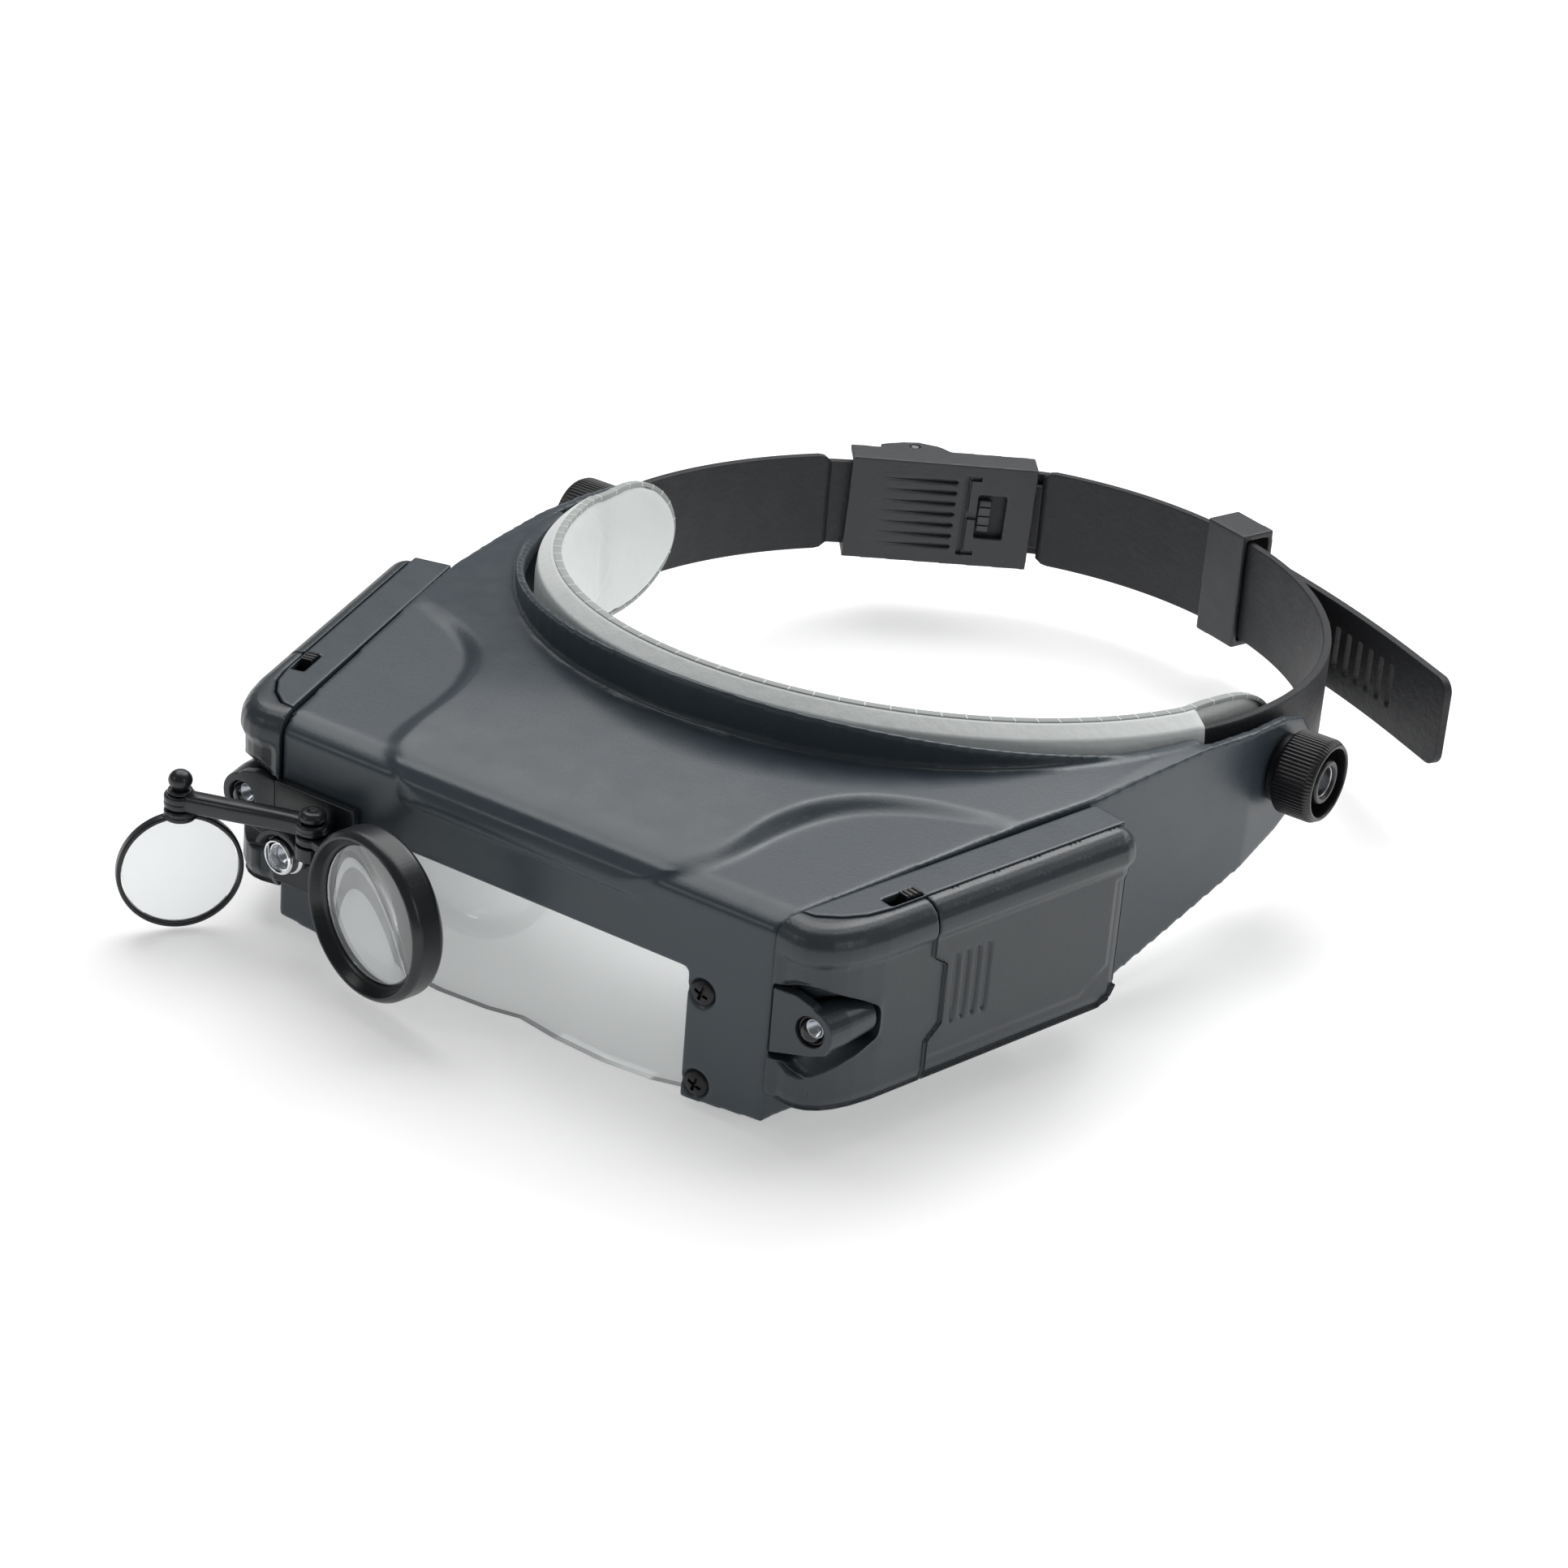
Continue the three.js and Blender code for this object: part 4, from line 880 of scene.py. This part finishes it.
sharp_edges(publish("strap_catch", strap_catch(), BUCKLE, "headband"), 40)
sharp_edges(publish("buckle_frame", buckle_mesh(), BUCKLE, "headband", ["buckle_base"]), 50)
publish("buckle_lever_cover", moulded("buckle_lever", 0.25, 6), BUCKLE, "buckle_lever_arm",
    ["buckle_lever"])

# ---- forehead pad ----
PAD_HALF, LOBE_START, LOBE_END = 14.5, 125.5, 148.6
SLEEVE_END = 116.5
PAD_REACH = 93.85


def pad_half(y):
    return PAD_HALF * math.sqrt(max(0.0016, 1 - (max(0, y - LOBE_START) / (LOBE_END - LOBE_START)) ** 2.3))


def pad_angle(share):
    """Angle round the band for a share from -1 to 1, with more stations towards the two lobes."""
    return -90 + PAD_REACH * math.sin(math.pi / 2 * share)


def pad_cushion():
    """The soft inner face: a long crowned pillow with pinched edges and a rounded lobe at each end."""
    loops = []
    for k in range(161):
        angle = pad_angle(k / 80 - 1)
        x, y = band_point(angle)
        h = pad_half(y)
        lobe = smooth_step(y, 113, 122)
        back, edge, crown = -1.9 - 1.1 * lobe, -2.6 - 1.1 * lobe, 2.5 - 0.6 * lobe
        loop = []
        for i in range(17):
            v = -1 + i / 8
            loop.append((edge - crown * (1 - abs(v) ** 3) * min(1, h / 6), v * h))
        for i in range(9):
            v = 1 - i / 4
            loop.append((back, v * h * 0.995))
        loops.append([(*band_point(angle, d), band_z(y) + v) for d, v in loop])
    return sweep("pad_cushion", loops)


def inflated(mesh, voxel, pressure, cap):
    """The mesh swollen as a stuffed cover by a short cloth simulation, its movement capped."""
    mesh = evaluated(mesh, ("REMESH", {"mode": "VOXEL", "voxel_size": voxel * MM,
        "use_smooth_shade": True}),
                     ("SMOOTH", {"factor": 0.5, "iterations": 8}))
    scene = bpy.context.scene
    ob = bpy.data.objects.new("cloth_work", mesh)
    scene.collection.objects.link(ob)
    start = np.empty(len(mesh.vertices) * 3)
    mesh.vertices.foreach_get("co", start)
    cloth = ob.modifiers.new("cloth", "CLOTH")
    cloth.settings.use_pressure = True
    cloth.settings.uniform_pressure_force = pressure
    cloth.settings.effector_weights.gravity = 0
    cloth.settings.quality = 6
    cloth.point_cache.frame_start, cloth.point_cache.frame_end = 1, 20
    for frame_number in range(1, 21):
        scene.frame_set(frame_number)
    moved = bpy.data.meshes.new_from_object(ob.evaluated_get(bpy.context.evaluated_depsgraph_get()))
    scene.frame_set(1)
    bpy.data.objects.remove(ob)
    end = np.empty(len(moved.vertices) * 3)
    moved.vertices.foreach_get("co", end)
    shift = (end - start).reshape(-1, 3)
    length = np.linalg.norm(shift, axis=1)[:, None]
    shift *= np.minimum(1, cap * MM / np.maximum(length, 1e-9))
    moved.vertices.foreach_set("co", (start.reshape(-1, 3) + shift).ravel())
    moved.update()
    mesh = evaluated(moved, ("SMOOTH", {"factor": 0.4, "iterations": 2}))
    mesh = evaluated(mesh, ("SUBSURF", {"levels": 1}))
    mesh.polygons.foreach_set("use_smooth", [True] * len(mesh.polygons))
    return mesh


def pad_sleeve():
    """The pocket that the strap passes through, with its two open ends."""
    half_turn = math.degrees(math.acos((BAND_Y - SLEEVE_END) / BAND_FRONT))
    start, end = -90 - half_turn, -90 + half_turn
    verts, faces = [], []
    outer_loop = rounded([(-2.1, -14.5), (-1.1, -14.5), (1.7, -12.2), (2.1, -9), (2.1, 9), (1.7, 12.2),
        (-1.1, 14.5), (-2.1, 14.5)],
                         0.5, 3, closed=True)
    inner_loop = rounded([(-1.3, -11.7), (0, -11.7), (1.2, -11.7), (1.2, 0), (1.2, 11.7), (0, 11.7),
        (-1.3, 11.7), (-1.3, 0)],
                         0.2, 3, closed=True)
    count = len(outer_loop)
    stations = 110
    for k in range(stations + 1):
        angle = start + (end - start) * k / stations
        _, y = band_point(angle)
        for loop in (outer_loop, inner_loop):
            for d, v in loop:
                px, py = band_point(angle, d)
                verts.append(TO_FRAME @ Vector((px, py, band_z(y) + v)))
    ring = 2 * count
    for k in range(stations):
        for half in (0, count):
            for i in range(count):
                j = (i + 1) % count
                a, b = k * ring + half, (k + 1) * ring + half
                faces.append((a + i, a + j, b + j, b + i))
    for base in (0, stations * ring):
        for i in range(count):
            j = (i + 1) % count
            faces.append((base + i, base + j, base + count + j, base + count + i))
    return mesh_of("pad_sleeve", verts, faces)


THREAD_WIDTH = 0.3


def pad_outline():
    """The cushion's edge as a closed run of points, with the directions out of it and across it."""
    shares = [k / 240 for k in range(-240, 241)]
    points = []
    for sign, run in ((1, shares), (-1, shares[::-1])):
        for share in run:
            angle = pad_angle(share)
            _, y = band_point(angle)
            x, y_out = band_point(angle, -2.15 - 1.1 * smooth_step(y, 113, 122))
            points.append(Vector((x, y_out, band_z(y) + sign * (pad_half(y) - 0.25))))
    even = [points[0]]
    for point in points[1:]:
        if (point - even[-1]).length > 0.6:
            even.append(point)
    middle = Vector((0, BAND_Y, 0))
    frames = []
    for i, point in enumerate(even):
        tangent = (even[(i + 1) % len(even)] - even[i - 1]).normalized()
        across = (point - middle) * Vector((1, 1, 0))
        across = (across - tangent * across.dot(tangent)).normalized()
        frames.append((point, tangent.cross(across) * -1, across))
    return frames


def stitch_ends(first, second):
    """The first frame and a copy of it one thread's width further along the edge."""
    step = (second[0] - first[0]).normalized() * THREAD_WIDTH
    return [first, (first[0] + step, first[1], first[2])]


def pad_edge(name, half_width, lift, stitch=0):
    """The tape round the cushion's edge or, with a number of steps, stitches that far apart."""
    frames = pad_outline()
    frames.append(frames[0])
    runs = [frames] if not stitch else [stitch_ends(*frames[i:i + 2]) for i in range(3, len(frames) - 3,
        stitch)]
    section = rounded([(-half_width, -0.4), (half_width, -0.4), (half_width, lift), (-half_width, lift)],
        0.12, 2, closed=True)
    bm = bmesh.new()
    for run in runs:
        bm.from_mesh(sweep(name, [[point + across * d + out * v for d, v in section] for point, out,
            across in run]))
    joined = bpy.data.meshes.new(name)
    bm.to_mesh(joined)
    bm.free()
    return joined


cushion = publish("pad_cushion", inflated(pad_cushion(), 0.75, 4, 0.5), VINYL, "headband",
    ["forehead_pad"])
tidy_normals(publish("pad_sleeve", pad_sleeve(), VINYL, "headband"))
publish("pad_tape", pad_edge("pad_tape", 0.8, 0.5), THREAD, "headband")
publish("pad_stitches", pad_edge("pad_stitches", 0.84, 0.55, 6), VINYL, "headband")

# ---- CAD nodes that stay ----
# ---- cells ----
CELL_R, CELL_LENGTH, CELL_NUB, CELL_N, CELL_S = 5.1, 43.3, 1.0, 6.4, 30.7
sleeve = rounded([(0, 0.3), (CELL_R, 0.3), (CELL_R, CELL_LENGTH - 0.2), (0, CELL_LENGTH - 0.2)], 0.5)
base_cap = [(0, 0), (4.2, 0), (4.4, 0.2), (4.4, 0.35), (0, 0.35)]
button_cap = rounded([(0, CELL_LENGTH - 0.3), (4.3, CELL_LENGTH - 0.3), (4.3, CELL_LENGTH - 0.05),
    (1.9, CELL_LENGTH),
                      (1.9, CELL_LENGTH + CELL_NUB), (0, CELL_LENGTH + CELL_NUB)], 0.15)
for side, sign in SIDES:
    axis = Vector((sign * math.sin(POD_ANGLE), math.cos(POD_ANGLE), 0))
    foot = Vector((sign * (SEAM_X + CELL_N * math.cos(POD_ANGLE)), -CELL_N * math.sin(POD_ANGLE),
        0)) + CELL_S * axis
    for level, z in (("upper", -8.4), ("lower", -25.2)):
        at = foot + Vector((0, 0, z))
        name = f"cell_{level}_{side}"
        sharp_edges(publish(f"{name}_sleeve", lathe("cell_sleeve", sleeve, at, axis, 64), SLEEVE, "visor",
            [name]), 50)
        for end, cap in (("base", base_cap), ("button", button_cap)):
            sharp_edges(publish(f"{name}_{end}", lathe("cell_cap", cap, at, axis, 48), STEEL, "visor"), 50)

FINISH = {"contact_": STEEL, "buckle_pin": STEEL, "pivot_bolt": STEEL}
for name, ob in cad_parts.items():
    for start, material in FINISH.items():
        if name.startswith(start):
            ob.data.materials.clear()
            ob.data.materials.append(material)

# ---- floor and light ----
FLOOR_HALF, FLOOR_GLOW = 12, 0.4
corners = [(a * FLOOR_HALF, b * FLOOR_HALF, 0) for a, b in ((-1, -1), (1, -1), (1, 1), (-1, 1))]
floor_mesh = mesh_of("floor", corners, [(0, 1, 2, 3)])
floor = bpy.data.objects.new("floor", floor_mesh)
bpy.context.scene.collection.objects.link(floor)
floor_paint = surface("floor_paint", (0.86, 0.86, 0.86), 0.8, mottle=0.01, bump=0.02)
socket(floor_paint.node_tree.nodes["Principled BSDF"], "Emission Color", (1, 1, 1, 1))
socket(floor_paint.node_tree.nodes["Principled BSDF"], "Emission Strength", FLOOR_GLOW)
floor_mesh.materials.append(floor_paint)


def softbox(name, at, size, power, look=(0, 0, 0.03)):
    data = bpy.data.lights.new(name, "AREA")
    data.shape = "RECTANGLE"
    data.size, data.size_y = size
    data.energy = power
    ob = bpy.data.objects.new(name, data)
    bpy.context.scene.collection.objects.link(ob)
    ob.location = at
    ob.rotation_euler = (Vector(look) - Vector(at)).to_track_quat("-Z", "Y").to_euler()


softbox("top_light", (-0.4, 0.6, 1.3), (1.7, 1.5), 21)
softbox("rear_strip", (0.5, 1.2, 0.8), (1.2, 0.3), 4.5)
softbox("side_light", (1.4, -0.3, 0.7), (0.25, 0.6), 1.6)
softbox("front_light", (-0.9, -1.3, 0.9), (0.35, 0.3), 1.6)
softbox("inner_light", (0.0, 0.22, 0.33), (0.12, 0.12), 0.2, (0, -0.08, 0))
world = bpy.data.worlds.new("studio")
bpy.context.scene.world = world
world.use_nodes = True
socket(world.node_tree.nodes["Background"], "Color", (1, 1, 1, 1))
socket(world.node_tree.nodes["Background"], "Strength", 0.16)
bpy.context.scene.view_settings.view_transform = "Standard"
